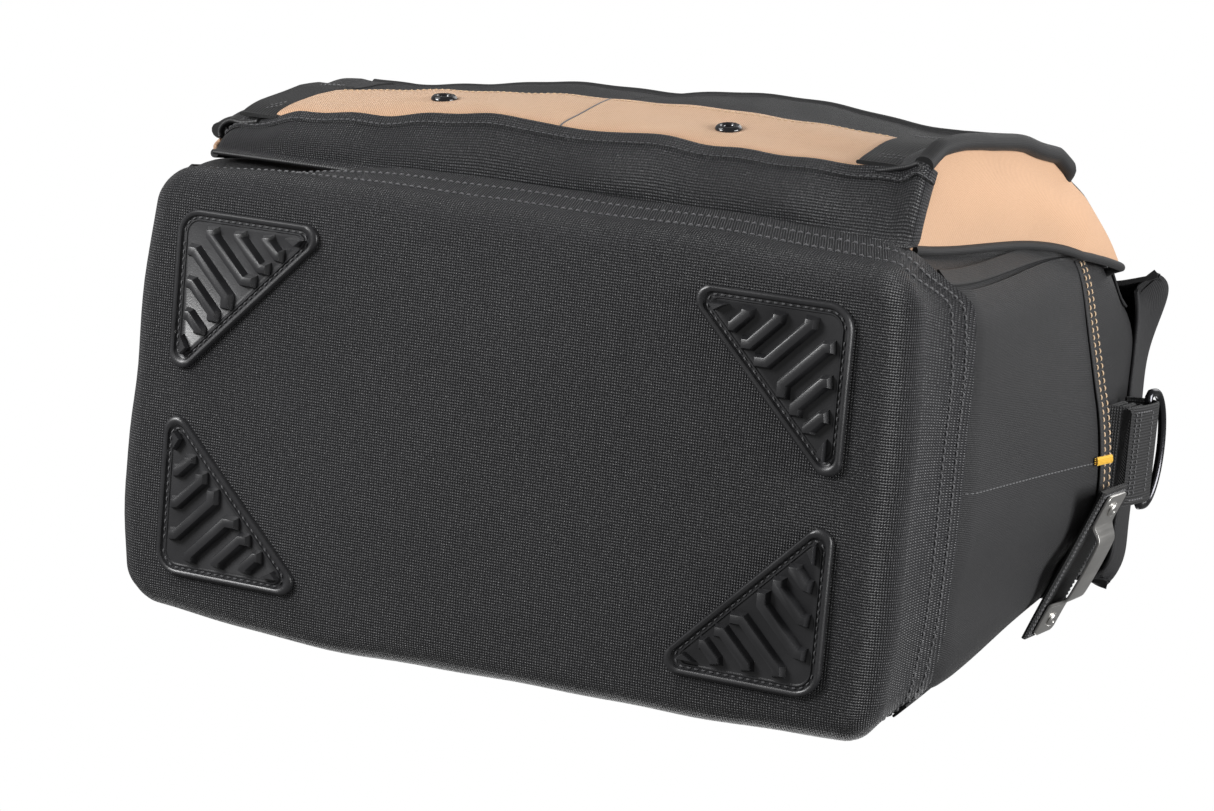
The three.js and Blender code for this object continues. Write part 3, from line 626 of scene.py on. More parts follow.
def boot_point(k, n, hem, s):
    """s from 0 at the middle of the bottom, 1 at its flat edge, 2 round the edge, to 3 at the hem."""
    turn = clamp01(s - 1) * math.pi / 2
    up = clamp01(s - 2)
    reach = BOOT_ROUND * np.sin(turn)
    wall_foot = FLOOR_Z + BOOT_ROUND
    z = FLOOR_Z + BOOT_ROUND * (1 - np.cos(turn)) + (hem - wall_foot) * up
    a, b = BASE_HALF_X + 1 - BOOT_ROUND, BASE_HALF_Y - 0.5 - BOOT_ROUND
    r = mix(19, 27, up) - BOOT_ROUND
    size = np.minimum(s, 1)
    x = (k[:, 0] * (a - r) + n[:, 0] * (r + reach)) * size
    y = (k[:, 1] * (b - r) + n[:, 1] * (r + reach)) * size

    # The wall leans out to the pocket's floor in front and to the bulging pockets at the ends.
    front, end = clamp01(-n[:, 1]) ** 2, n[:, 0] ** 2
    left_front = smooth((-x - 60) / 130) * clamp01(-n[:, 1])
    out = up * (6.5 * front + end * (2.5 + 6 * up)) + up * 1.2 - left_front * up * 15
    x = x + n[:, 0] * out
    y = y + n[:, 1] * out

    # The corners are pulled in, each by its own measure, and the left edge is drawn in as a whole.
    pull = smooth((np.abs(x) - 100) / 100) * smooth((np.abs(y) - 45) / 60)
    x = x - np.sign(x) * pull * (3 + 2.5 * (x < 0) + 2.5 * up * (y > 0))
    y = y - np.sign(y) * pull * (3.5 + 5 * up * (y > 0) * (x > 0) + 4 * up * (y < 0) * (x < 0))
    x = x + 3.5 * smooth((-x - 130) / 60) * smooth((70 - y) / 100)
    y = y + 3 * np.exp(-((x + 90) / 75) ** 2) * smooth(y / 100)

    # Dents round the wall, a hollow under the bag, and long soft folds across the bottom.
    crumple = smooth((s - 0.8) * 2) * (0.5 + 0.7 * (1 - np.abs(np.abs(n[:, 0]) - np.abs(n[:, 1]))))
    dent = folds(x, y + z * 1.5, 70, 3) * crumple
    pillow = -1.2 * np.clip(1 - (x / 195) ** 2, 0, 1) * np.clip(1 - (y / 103) ** 2, 0, 1) * (s < 1.3)
    z = z + pillow + folds(x, y, 150, 5) * 0.35 * smooth(1.6 - s)
    return np.stack([x + n[:, 0] * dent, y + n[:, 1] * dent, z], axis=-1)


def boot_line(below_hem):
    """The closed line round the boot, a distance below its hem, with its outward directions."""
    k, n = ring_directions()
    hem = boot_hem(n)
    s = 3 - below_hem / (hem - FLOOR_Z - BOOT_ROUND)
    return np.stack([boot_point(k[i:i + 1], n[i:i + 1], hem[i], s[i])[0] for i in range(len(k))]), n


def build_boot():
    k, n = ring_directions()
    hem = boot_hem(n)
    stops = np.concatenate([np.linspace(0.02, 0.96, 22), np.linspace(1, 2, 10), np.linspace(2.06, 3, 14)])
    outer = np.stack([boot_point(k, n, hem, s) for s in stops], axis=1)
    down = along(np.array([[s * 100 if s < 1 else 100 + (s - 1) * 22, 0, 0] for s in stops]))
    edge = outer[:, 22]        # where the bottom starts to turn up
    walk = np.maximum(down - down[22], 0)
    flat = outer[..., :2].copy()
    flat[:, 22:] = edge[:, None, :2] + n[:, None] * walk[None, 22:, None]
    inner = outer.copy()
    wall = np.array([smooth(s - 1) for s in stops])
    inner[..., :2] -= n[:, None] * BOOT_THICK * wall[None, :, None]
    inner[..., 2] += BOOT_THICK * (1 - wall)[None, :]
    points = np.concatenate([outer, inner[:, ::-1]], axis=1)
    cloth = np.concatenate([flat, flat[:, ::-1]], axis=1)
    rows, ring = points.shape[:2]
    faces = grid_faces(rows, ring, wrap_rows=True)
    faces.append(tuple(i * ring for i in range(rows)))
    faces.append(tuple(i * ring + ring - 1 for i in reversed(range(rows))))
    add_piece("boot_cloth", (points.reshape(-1, 3), faces, cloth.reshape(-1, 2)), "ballistic_black",
              stands_for=["base_panel", "boot_wall"])
    seams = []
    for below in (6, 14):
        line, outward = boot_line(below)
        line = np.vstack([line, line[:1]])
        outward = np.column_stack([np.vstack([outward, outward[:1]]), np.zeros(len(line))])
        seams.append(stitches(line, outward, 3.8, 2.7, 1.0))
    add_piece("boot_stitching", join(*seams), "thread_black")


# ---------------------------------------------------------------- rubber feet
RIM = [(0, 0.0), (0, 2.0), (0.3, 2.8), (0.9, 3.3), (1.7, 3.3), (2.4, 2.9), (2.9, 1.9), (3.2, 1.6), (4.2, 1.6),
       (4.6, 2.3), (5.1, 2.3), (5.6, 1.8)]                                     # inset, height
GROOVE_INSET, GROOVE_HEIGHT = 3.7, 1.6
LUG_PITCH, LUG_EDGE = 11.3, 7.0
LUG_SECTION = [(3.4, 1.6), (2.8, 3.0), (2.2, 5.0), (1.9, 5.7), (1.4, 5.9)]     # half width, height
WEDGE = [(60, 7.2), (70.5, 7.2), (66.5, 11.0)]


def foot_outline(inset):
    """Right triangle with rounded corners, its right angle at the origin, inset on every side."""
    far = FOOT_LEG - inset * (1 + math.sqrt(2))
    corners = [(inset, inset, max(12 - inset, 2.5), math.pi, 1.5 * math.pi),
               (far, inset, max(6.5 - inset * 0.6, 1.5), 1.5 * math.pi, 2.25 * math.pi),
               (inset, far, max(6.5 - inset * 0.6, 1.5), 0.25 * math.pi, math.pi)]
    loop = []
    for number, (x, y, radius, start, end) in enumerate(corners):
        cut = radius if number == 0 else radius / math.tan(math.pi / 8)
        cx = x + radius if x == inset else x - cut
        cy = y + radius if y == inset else y - cut
        turns = [mix(start, end, i / 8) for i in range(9)]
        loop += [(cx + radius * math.cos(t), cy + radius * math.sin(t)) for t in turns]
    return np.array(loop)


def bar_loop(path, half, grow):
    """Outline of a bent bar: both sides of its middle line, with mitred bends."""
    path = np.array(path, float)
    steps = unit(np.diff(path, axis=0))
    path[0] -= steps[0] * grow
    path[-1] += steps[-1] * grow
    normals = np.column_stack([-steps[:, 1], steps[:, 0]])
    joint = [normals[0]]
    for a, b in zip(normals[:-1], normals[1:]):
        middle = unit(a + b)
        joint.append(middle / max(float(middle @ a), 0.3))
    joint = np.array(joint + [normals[-1]])
    return np.vstack([path + joint * half, (path - joint * half)[::-1]])


def lug_paths():
    """Middle lines of the tread bars on the half nearer the x leg; the other half mirrors them."""
    paths = []
    for number in range(3):
        offset = (number + 0.5) * LUG_PITCH * math.sqrt(2)
        start_run, end_run = 4.5 - 0.6 * number, 7 - 2.0 * number
        start = (offset + LUG_EDGE + start_run, LUG_EDGE)
        bend = (start[0] + 0.5, LUG_EDGE + start_run)
        last = FOOT_LEG - LUG_EDGE * math.sqrt(2)
        reach = (last - end_run - bend[0] - bend[1]) / 2
        turn = (bend[0] + reach, bend[1] + reach)
        paths.append([start, bend, turn, (turn[0] + end_run, turn[1])])
    return paths


def foot_parts():
    def lift(outline, height):
        return np.column_stack([outline, np.full(len(outline), FLOOR_Z - height)])

    plate = loft([lift(foot_outline(inset), height) for inset, height in RIM])
    bars = []
    for path in lug_paths():
        for swap in (False, True):
            line = [(y, x) for x, y in path] if swap else path
            bars.append(loft([lift(bar_loop(line, half, half - LUG_SECTION[0][0]), height)
                              for half, height in LUG_SECTION]))
    for swap in (False, True):
        wedge = np.array(WEDGE)[:, ::-1] if swap else np.array(WEDGE)
        middle = wedge.mean(axis=0)
        bars.append(loft([lift(middle + (wedge - middle) * (half / LUG_SECTION[0][0]) ** 0.4, height)
                          for half, height in LUG_SECTION]))
    groove = lift(foot_outline(GROOVE_INSET), GROOVE_HEIGHT)
    thread = stitches(np.vstack([groove, groove[:1]]), (0, 0, -1), 3.7, 2.4, 0.8)
    return join(plate, *bars), thread


def build_feet():
    rubber, thread = foot_parts()
    for front_back, sy in (("front", -1), ("back", 1)):
        for sx, end in ENDS:
            name = f"{front_back}_{end}"

            def place(part):
                points, faces, cloth = part
                moved = np.array([FOOT_CORNER[0], FOOT_CORNER[1], 0]) + points * [-1, -1, 1]
                return moved * [sx, sy, 1], faces, cloth

            add_piece(f"moulded_foot_{name}", place(rubber), "foot_rubber", stands_for=[f"foot_{name}"],
                      crease=32)
            add_piece(f"foot_stitching_{name}", place(thread), "thread_black")


# ---------------------------------------------------------------- body walls
def build_walls():
    """Four wall panels from inside the boot to the crease, seamed at the corners."""
    panels = [("right", "end_panel_right", 1, False), ("left", "end_panel_left", 1, True),
              ("back", "back_panel", 6, True), ("front", "front_panel", 12, False)]
    for number, (side, node, tucked, flip) in enumerate(panels):
        def surface(u, v):
            low = BOOT_TOP - tucked
            z = mix(low, CREASE_Z, v)
            across = (u - 0.5) * (200 if side in ("right", "left") else 400)
            free = np.sin(math.pi * clamp01(u * 1.1 - 0.05)) * np.sin(math.pi * clamp01(v))
            sag = folds(across, z * 0.7, 120, 20 + number) * 2.2
            sag = sag + folds(across * 0.5, z, 60, 30 + number) * 0.6
            belly = (2.2 if side == "back" else 0.6) * free
            tuck = 3.5 * (1 - smooth((z - low) / 22))
            return wall_point(side, u, z, belly + sag * free ** 0.5 - 0.6 - tuck)

        add_piece(f"wall_cloth_{side}", shell(surface, 90, 60, 2.2, flip), "poly_black", stands_for=[node])
    ribs = []
    lean = math.sqrt(0.5)
    z = np.linspace(BOOT_TOP + 4, CREASE_Z - 1, 60)
    a, b, r = body_size(z)
    for sx in (1, -1):
        for sy in (1, -1):
            path = swell(stack(sx * (a - r + r * lean), sy * (b - r + r * lean), z))
            ribs.append(sweep(path, (sx * lean, sy * lean, 0), tape_section(9, 1.3)))
    add_piece("corner_seam_tape", join(*ribs), "binding_black")


# ---------------------------------------------------------------- front pockets
FACE_THICK = 2.4


def pocket_depth(z):
    low = mix(145, 156, clamp01((z - BAND_BOTTOM) / (BAND_TOP - BAND_BOTTOM)) ** 0.7)
    return low + 2.4 * clamp01((z - BAND_TOP) / 60)


def side_x(z):
    return POCKET_HALF_X + 20 * clamp01((z - BAND_BOTTOM) / 150)


def corner_radius(z, side):
    """The right end stands square, with its lip flared; the left end has fallen in."""
    return np.minimum(CORNER_RADIUS if side < 0 else 4, side_x(z) - STRAP_OUTER - 0.9)


def corner_x(z, side):
    return side_x(z) - (0 if side > 0 else 8 * smooth((z - 50) / 30))


def lip_flare(z, side):
    return np.interp(z, (47, 60, 100, 140, 190), (5, 9, 5.5, 2.5, -8)) if side > 0 else 0 * z


def face_depth(x, z):
    """How far the pocket front stands out: two soft humps, drawn in at the middle seam and the ends."""
    hump = np.sin(math.pi * clamp01(np.abs(x) / STRAP_INNER)) ** 1.3
    high = smooth((z - BAND_TOP + 20) / 50)
    left_low = smooth((-x - 30) / 110) * 10 + smooth((-x - 140) / 35) * 6
    left_end = left_low * (1 - high) + smooth((10 - x) / 120) * 13 * high
    right_end = smooth((x - 100) / 80) * 1.5 + 3 * high * np.exp(-((x - 95) / 50) ** 2)
    ripple = folds(x, z * 0.6, 34, 8) * 0.7 + folds(x, z, 90, 9) * 0.9
    droop = smooth((BAND_BOTTOM + 16 - z) / 20) * folds(x, z * 0, 60, 12) * 1.2
    soft = hump * (1.2 + 3.8 * high) - 1.5 * (1 - hump) * high
    return pocket_depth(z) + soft - left_end - right_end + ripple + droop


def face_point(x, z, out=0.0):
    return stack(x, -(face_depth(x, z) + out), z)


def face_shell(side, reach, z0, z1, across, up, out, mouth=None):
    """Cloth of one half of the pocket front, from the middle seam out to reach."""
    x0, x1 = sorted((side * 0.4, side * reach))

    def surface(u, v):
        x = mix(x0, x1, u)
        top = z1 - (mouth(x) if mouth else 0)
        return face_point(x, mix(z0, top, v), out)

    return shell(surface, across, up, FACE_THICK)


def mouth_dip(x):
    """The pocket mouths sag between the middle seam and the straps."""
    return 5 * np.sin(math.pi * clamp01(np.abs(x) / STRAP_OUTER)) ** 2


def build_pocket_front():
    ahead = (0, -1, 0)
    for side, word in ENDS:
        band = face_shell(side, STRAP_INNER + 3, BAND_BOTTOM, BAND_TOP, 110, 40, 0.4)
        band = add_piece(f"band_cloth_{word}", band, "tan_fabric", stands_for=[f"tan_band_{word}"])
        face = face_shell(side, STRAP_OUTER + 0.6, BAND_TOP - 3, POCKET_TOP, 100, 50, -0.6, mouth_dip)
        add_piece(f"face_cloth_{word}", face, "poly_black", stands_for=[f"pocket_face_{word}"])
        cut_hole(band, [ring_loop((side * EYELET_X, y, EYELET_Z), (1, 0, 0), UP, 4.6, 4.6)
                        for y in (-120, -180)])
        x = side * (STRAP_INNER + STRAP_OUTER) / 2
        z = np.linspace(BAND_BOTTOM - 3, 118, 60)
        strap = sweep(face_point(x, z, 0.6), ahead, tape_section(STRAP_OUTER - STRAP_INNER, 1.9))
        add_piece(f"webbing_strap_{word}", strap, "webbing_black", stands_for=[f"strap_{word}"])
        xs = x + np.linspace(-9.5, 9.5, 30)
        rows = [stitches(face_point(xs, z, 2.5), ahead, 2.6, 1.8, 0.6)
                for z in (BAND_BOTTOM + 5, BAND_BOTTOM + 9, 108, 112)]
        add_piece(f"strap_stitching_{word}", join(*rows), "thread_black")
        xs = np.linspace(3, STRAP_INNER - 2, 200) * side
        row = stitches(face_point(xs, BAND_TOP - 3.5, 0.5), ahead, 3.4, 2.4, 0.65)
        add_piece(f"band_stitching_{word}", row, "thread_tan")
    seam = face_point(0.0, np.linspace(BAND_BOTTOM, BAND_TOP, 40), 0.25)
    add_piece("band_middle_seam", sweep(seam, ahead, round_section(0.5, 0.5, 8)), "thread_black")
    xs = np.linspace(-STRAP_OUTER - 2, STRAP_OUTER + 2, 300)
    rim = face_point(xs, POCKET_TOP - mouth_dip(xs), -FACE_THICK / 2)
    add_piece("mouth_binding", sweep(rim, ahead, round_section(2.9, 2.4)), "binding_black")

    def divider(u, v):
        z = mix(54, 166, v)
        return stack(-0.6, mix(-wall_y(0 * u, z) - 0.8, -face_depth(0 * u, z) + 3, u), z)

    add_piece("divider_cloth", shell(divider, 10, 24, 1.2), "lining", stands_for=["pocket_divider"])


def cut_hole(piece, loops):
    """Cuts a closed prism, given by its loops, out of a piece."""
    hole = loft(loops)
    mesh = bpy.data.meshes.new("hole")
    mesh.from_pydata((hole[0] * MM + BAG_ORIGIN).tolist(), [], hole[1])
    turn_outwards(mesh)
    cutter = bpy.data.objects.new("hole", mesh)
    bpy.context.scene.collection.objects.link(cutter)
    cut = piece.modifiers.new("hole", "BOOLEAN")
    cut.object, cut.solver = cutter, "EXACT"
    keep_result(piece)
    bpy.data.objects.remove(cutter)


def ring_loop(centre, across, up, half_across, half_up):
    """An ellipse of 24 points round a centre."""
    turns = np.arange(24)[:, None] * 2 * math.pi / 24
    ellipse = np.cos(turns) * half_across * np.array(across) + np.sin(turns) * half_up * np.array(up)
    return np.array(centre) + ellipse


def keep_result(piece):
    """Applies all modifiers."""
    bpy.context.view_layer.update()
    ready = piece.evaluated_get(bpy.context.evaluated_depsgraph_get())
    mesh = bpy.data.meshes.new_from_object(ready)
    piece.modifiers.clear()
    piece.data = mesh


def build_eyelets():
    """Rolled gloss ring, pressed into the band."""
    section = [(4.4, -2.4), (3.2, -2.0), (2.9, 0.4), (3.3, 1.7), (4.2, 2.2), (5.2, 2.0), (6.1, 1.2),
               (6.5, 0.2), (6.2, -0.4)]                                        # radius, height
    turns = np.linspace(0, 2 * math.pi, 48, endpoint=False)
    along_x = np.array([1.0, 0, 0])
    for side, word in ENDS:
        centre, above, below = [face_point(np.array(side * EYELET_X), np.array(z), 0.4)
                                for z in (EYELET_Z, EYELET_Z + 6, EYELET_Z - 6)]
        along_z = unit(above - below)
        out = unit(np.cross(along_z, along_x))
        out = out if out[1] < 0 else -out
        loops = [[centre + r * (math.cos(t) * along_x + math.sin(t) * along_z) + h * out for t in turns]
                 for r, h in section]
        add_piece(f"rolled_eyelet_{word}", loft(loops + loops[:1], capped=False), "eyelet_metal",
                  stands_for=[f"eyelet_{word}"], crease=60)


def build_pocket_floor():
    """Cloth from behind the boot's hem out to the band; its ends turn up round the gussets."""
    half, turn_up = POCKET_HALF_X + 2.5, 7

    def surface(u, v):
        s = mix(-half - turn_up, half + turn_up, u)
        over = np.maximum(np.abs(s) - half, 0)
        x = np.sign(s) * (np.minimum(np.abs(s), half) + 1.2 * np.sin(over / turn_up * 1.5))
        middle = 1 - 0.6 * (np.abs(x) / half) ** 4
        radius = np.where(x > 0, 5, 11)
        into = np.maximum(np.abs(x) - (half + 1.2 - radius), 0)
        corner = radius - np.sqrt(np.maximum(radius ** 2 - into ** 2, 0))
        flare = lip_flare(BAND_BOTTOM, 1) * smooth((x - STRAP_OUTER) / 9)
        front_y = -(face_depth(x, BAND_BOTTOM + 0 * x) + flare - 1.2 - corner)
        x = x + 8 * smooth((-x - 110) / 70)
        belly = np.sin(math.pi * clamp01((v - 0.12) / 0.88) ** 0.8) * middle
        z = mix(FRONT_HEM_Z - 2, BAND_BOTTOM - 3.2, v ** 0.7) - belly * (5 + 1.6 * folds(x, v * 30, 120, 31))
        z = z + folds(x, v * 22, 46, 33) * 0.8 * np.sin(math.pi * v) + over
        return stack(x, mix(-(BASE_HALF_Y + 3.2), front_y, v), z)

    add_piece("pocket_floor_cloth", shell(surface, 200, 36, 2.2), "ballistic_black",
              stands_for=["pocket_floor"])
    u = np.linspace(0.004, 0.996, 260)
    hem = surface(u, np.full_like(u, 0.97))
    below = unit(np.cross(np.gradient(hem, axis=0), surface(u, np.full_like(u, 0.93)) - hem))
    below = below * np.where(below[:, 2:] < 0, 1, -1)
    add_piece("pocket_floor_hem", sweep(hem, below, tape_section(6.5, 1.1)), "ballistic_black")
    line = surface(u, np.full_like(u, 0.9))
    rows = stitches(line + below * 1.2, below, 3.2, 2.3, 0.6)
    add_piece("pocket_floor_stitching", rows, "thread_black")


def build_pocket_corners():
    """Black cloth that turns from each strap round to the tan gusset, which runs back to the body."""
    for side, word in ENDS:
        def corner(u, v):
            z = mix(BAND_BOTTOM - 4, CORNER_TOP + 2, v)
            radius = corner_radius(z, side)
            centre_x = corner_x(z, side) - radius
            across = mix(STRAP_OUTER - 11, centre_x, clamp01(u / 0.25))
            depth = face_depth(side * np.minimum(across, STRAP_OUTER + 2), z)
            depth = depth + lip_flare(z, side) * smooth(u / 0.3)
            turn = clamp01((u - 0.25) / 0.75) * math.pi / 2
            puff = np.sin(math.pi * clamp01((u - 0.2) / 0.8)) * (1.8 + folds(u * 40, z, 38, 41) * 0.7)
            x = np.where(u < 0.25, across, centre_x + (radius + puff) * np.sin(turn))
            y = -(depth - radius) - (radius + puff) * np.cos(turn)
            return stack(side * x, y, z)

        def gusset(u, v):
            z = mix(mix(BAND_BOTTOM - 3, BOOT_TOP + 4, u), mix(CORNER_TOP, GUSSET_TOP, u), v)
            depth = face_depth(side * np.full_like(z, STRAP_OUTER), z) + lip_flare(z, side)
            front = -(depth - corner_radius(z, side)) + 0.5
            back = -(wall_y(side_x(z) - 3, z) + 1.2)
            bulge = 6.5 * np.sin(math.pi * u) * np.sin(math.pi * clamp01(v * 0.8 + 0.1))
            bulge = bulge + folds(u * 60, z, 60, 43) * 0.7 * np.sin(math.pi * u)
            open_back = 5 * smooth((z - 140) / 80) * u
            points = stack(side * (corner_x(z, side) + bulge + open_back - 0.3), mix(front, back, u), z)
            return mix(points, swell(points.copy()), np.asarray(u)[..., None])

        flip = side < 0
        add_piece(f"corner_cloth_{word}", shell(corner, 26, 50, FACE_THICK, flip=flip), "ballistic_black",
                  stands_for=[f"pocket_corner_{word}"])
        add_piece(f"gusset_cloth_{word}", shell(gusset, 40, 70, FACE_THICK, flip=flip), "tan_fabric",
                  stands_for=[f"pocket_gusset_{word}"])
        v, u = np.linspace(0, 1, 60), np.linspace(0, 1, 40)
        front_edge, back_edge = gusset(np.zeros_like(v), v), gusset(np.ones_like(v), v)
        top_edge = gusset(u, np.ones_like(u))
        out = np.array([side * 1.0, 0, 0])
        lip = resample(np.vstack([front_edge, top_edge[1:6], top_edge[7:8] + [-side * 7, 5, 0]]), 3)
        lip = curve_through(lip, 2, rounds=2) + [side * 0.4, -3.6, 0]
        add_piece(f"gusset_lip_{word}", sweep(lip, out, round_section(4.0, 4.6)), "binding_black")
        binding = sweep(top_edge - [side * 1.9, 0, 0.8], out, round_section(1.9, 1.5, 10))
        add_piece(f"gusset_top_binding_{word}", binding, "binding_black")
        inward = [back_edge[-1:] + [-side * 5, 2, 2], back_edge[-1:] + [-side * 10, 5, 3]]
        back_edge = np.vstack([back_edge, *inward])
        piping = sweep(back_edge + [side * 0.6, 0, 0], out, round_section(2.2, 2.2))
        add_piece(f"gusset_piping_{word}", piping, "binding_black")


# ---------------------------------------------------------------- end pockets
def end_pocket_rise(z):
    """0 at the pocket's bottom to 1 at its mouth."""
    return clamp01((z - END_BOTTOM) / (END_TOP - END_BOTTOM))


def end_pocket_bulge(y, up):
    return mix(BELLY_X + 5, END_REACH, up ** 0.8) - 44 * np.abs(y / 92) ** 2.2 * mix(0.45, 1, up)


def end_pocket_x(y, z):
    """Outer surface of the end pocket: it leaves the boot and bulges to its open mouth."""
    up = end_pocket_rise(z)
    soft = np.logaddexp(end_pocket_bulge(y, up) / 3, (wall_x(y, z) + 3.2) / 3) * 3
    tuck = 8 * (1 - smooth((z - END_BOTTOM) / 26))
    return soft - 1.0 - tuck + folds(y, z * 0.8, 85, 51) * 1.4 * smooth(up * 4)


def end_pocket_half(z):
    return body_size(z)[1] - mix(15, 12, end_pocket_rise(z))


def end_line(y, z, side, out=0.0):
    return swell(stack(side * (end_pocket_x(y, z) + out), y, z))


def build_end_pockets():
    for side, word in ENDS:
        def surface(u, v):
            z = mix(END_BOTTOM + 2, END_TOP, v)
            return end_line(end_pocket_half(z) * (2 * u - 1), z, side)

        add_piece(f"end_pocket_cloth_{word}", shell(surface, 90, 70, 2, flip=side < 0), "poly_black",
                  stands_for=[f"end_pocket_{word}"])
        out = (side, 0, 0)
        y = end_pocket_half(END_TOP) * (2 * np.linspace(0.004, 0.996, 220) - 1)
        hem = end_line(y, END_TOP - 6.5, side, -0.2)
        outward = unit(np.cross(np.gradient(hem, axis=0), UP))
        outward = outward * np.where(outward[:, :1] * side > 0, 1, -1)
        add_piece(f"end_mouth_hem_{word}", sweep(hem, outward, tape_section(13.5, 1.5)), "binding_black")
        for row, below in (("outer", 3.4), ("inner", 9.2)):
            line = end_line(y, END_TOP - below, side) + outward * 1.4
            add_piece(f"end_mouth_stitching_{word}_{row}", stitches(line, outward, 3.6, 2.6, 0.85),
                      "thread_tan")
        line = end_line(-4, np.linspace(END_HEM_Z + 2, END_TOP - 14, 120), side, 0.05)
        add_piece(f"end_divider_stitching_{word}", stitches(line, out, 3.6, 2.4, 0.6), "thread_black")
        z = np.linspace(END_TOP - 19, END_TOP - 1.5, 14)
        bars = [stitches(end_line(y, z, side, 1.3), out, 17, 16.5, 1.15) for y in (-6.4, -5.5, -4.6, -3.7)]
        y = np.linspace(-7.4, -2.6, 8)
        across = [stitches(end_line(y, z, side, 2.0), out, 4.6, 4.4, 0.9)
                  for z in np.linspace(END_TOP - 18, END_TOP - 2.5, 17)]
        add_piece(f"bar_tack_{word}", join(*bars, *across), "thread_yellow")


# ---------------------------------------------------------------- inside the bag
def rounded_rectangle(half_x, half_y, radius, steps=6):
    loop = []
    for quarter, (sx, sy) in enumerate(((1, 1), (-1, 1), (-1, -1), (1, -1))):
        for k in range(steps + 1):
            turn = math.pi / 2 * (quarter + k / steps)
            loop.append((sx * (half_x - radius) + radius * math.cos(turn),
                         sy * (half_y - radius) + radius * math.sin(turn)))
    return np.array(loop)


def build_inside():
    """Stiff board on the bottom and an open cloth pocket on the back wall."""
    low, high = in_bag(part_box("base_board")[0]), in_bag(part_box("base_board")[1])
    half = (high - low) / 2
    loops = []
    for inset, height in ((0.8, 0), (0, 0.6), (0, half[2] * 2 - 0.6), (0.8, half[2] * 2)):
        outline = rounded_rectangle(half[0] - inset, half[1] - inset, 20 - inset)
        loops.append(np.column_stack([outline, np.full(len(outline), low[2] + height)]))
    add_piece("stiff_board", loft(loops), "base_board", stands_for=["base_board"])

    low, high = in_bag(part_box("inner_pocket")[0]), in_bag(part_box("inner_pocket")[1])

    def pocket(u, v):
        x, z = mix(low[0], high[0], u), mix(low[2], high[2], v)
        free = np.sin(math.pi * u) ** 0.5 * smooth(v * 2)
        return swell(stack(x, wall_y(x, z) - 6 - free * (3 + 4 * v + folds(x, z, 90, 61)), z))

    add_piece("inner_pocket_cloth", shell(pocket, 60, 30, 1.6), "lining", stands_for=["inner_pocket"])
    u = np.linspace(0, 1, 80)
    edge = pocket(u, np.ones_like(u)) + [0, 0.8, 0]
    add_piece("inner_pocket_binding", sweep(edge, (0, 0, 1), round_section(1.7, 2.2, 10)), "binding_black")


# ---------------------------------------------------------------- tape clip
CLIP_Y, CLIP_Z, CLIP_HALF, CLIP_STAND = 44, 198, 39.5, 1.8


def on_clip(points):
    """From the clip's own axes (out, along, up the bag) to the bag's."""
    slope = math.atan2(clip_wall(CLIP_Y - 36) - clip_wall(CLIP_Y + 36), 72)
    out = np.array([math.cos(slope), math.sin(slope), 0])
    along_clip = np.array([-math.sin(slope), math.cos(slope), 0])
    points = np.asarray(points, float)
    centre = np.array([clip_wall(CLIP_Y) + CLIP_STAND, CLIP_Y, CLIP_Z])
    turned = points[..., :1] * out + points[..., 1:2] * along_clip + points[..., 2:] * np.array(UP)
    return centre + turned


def clip_wall(y):
    """Plain reach of the end pocket at the clip's height."""
    return end_pocket_bulge(y, (CLIP_Z - END_BOTTOM) / (END_TOP - END_BOTTOM))


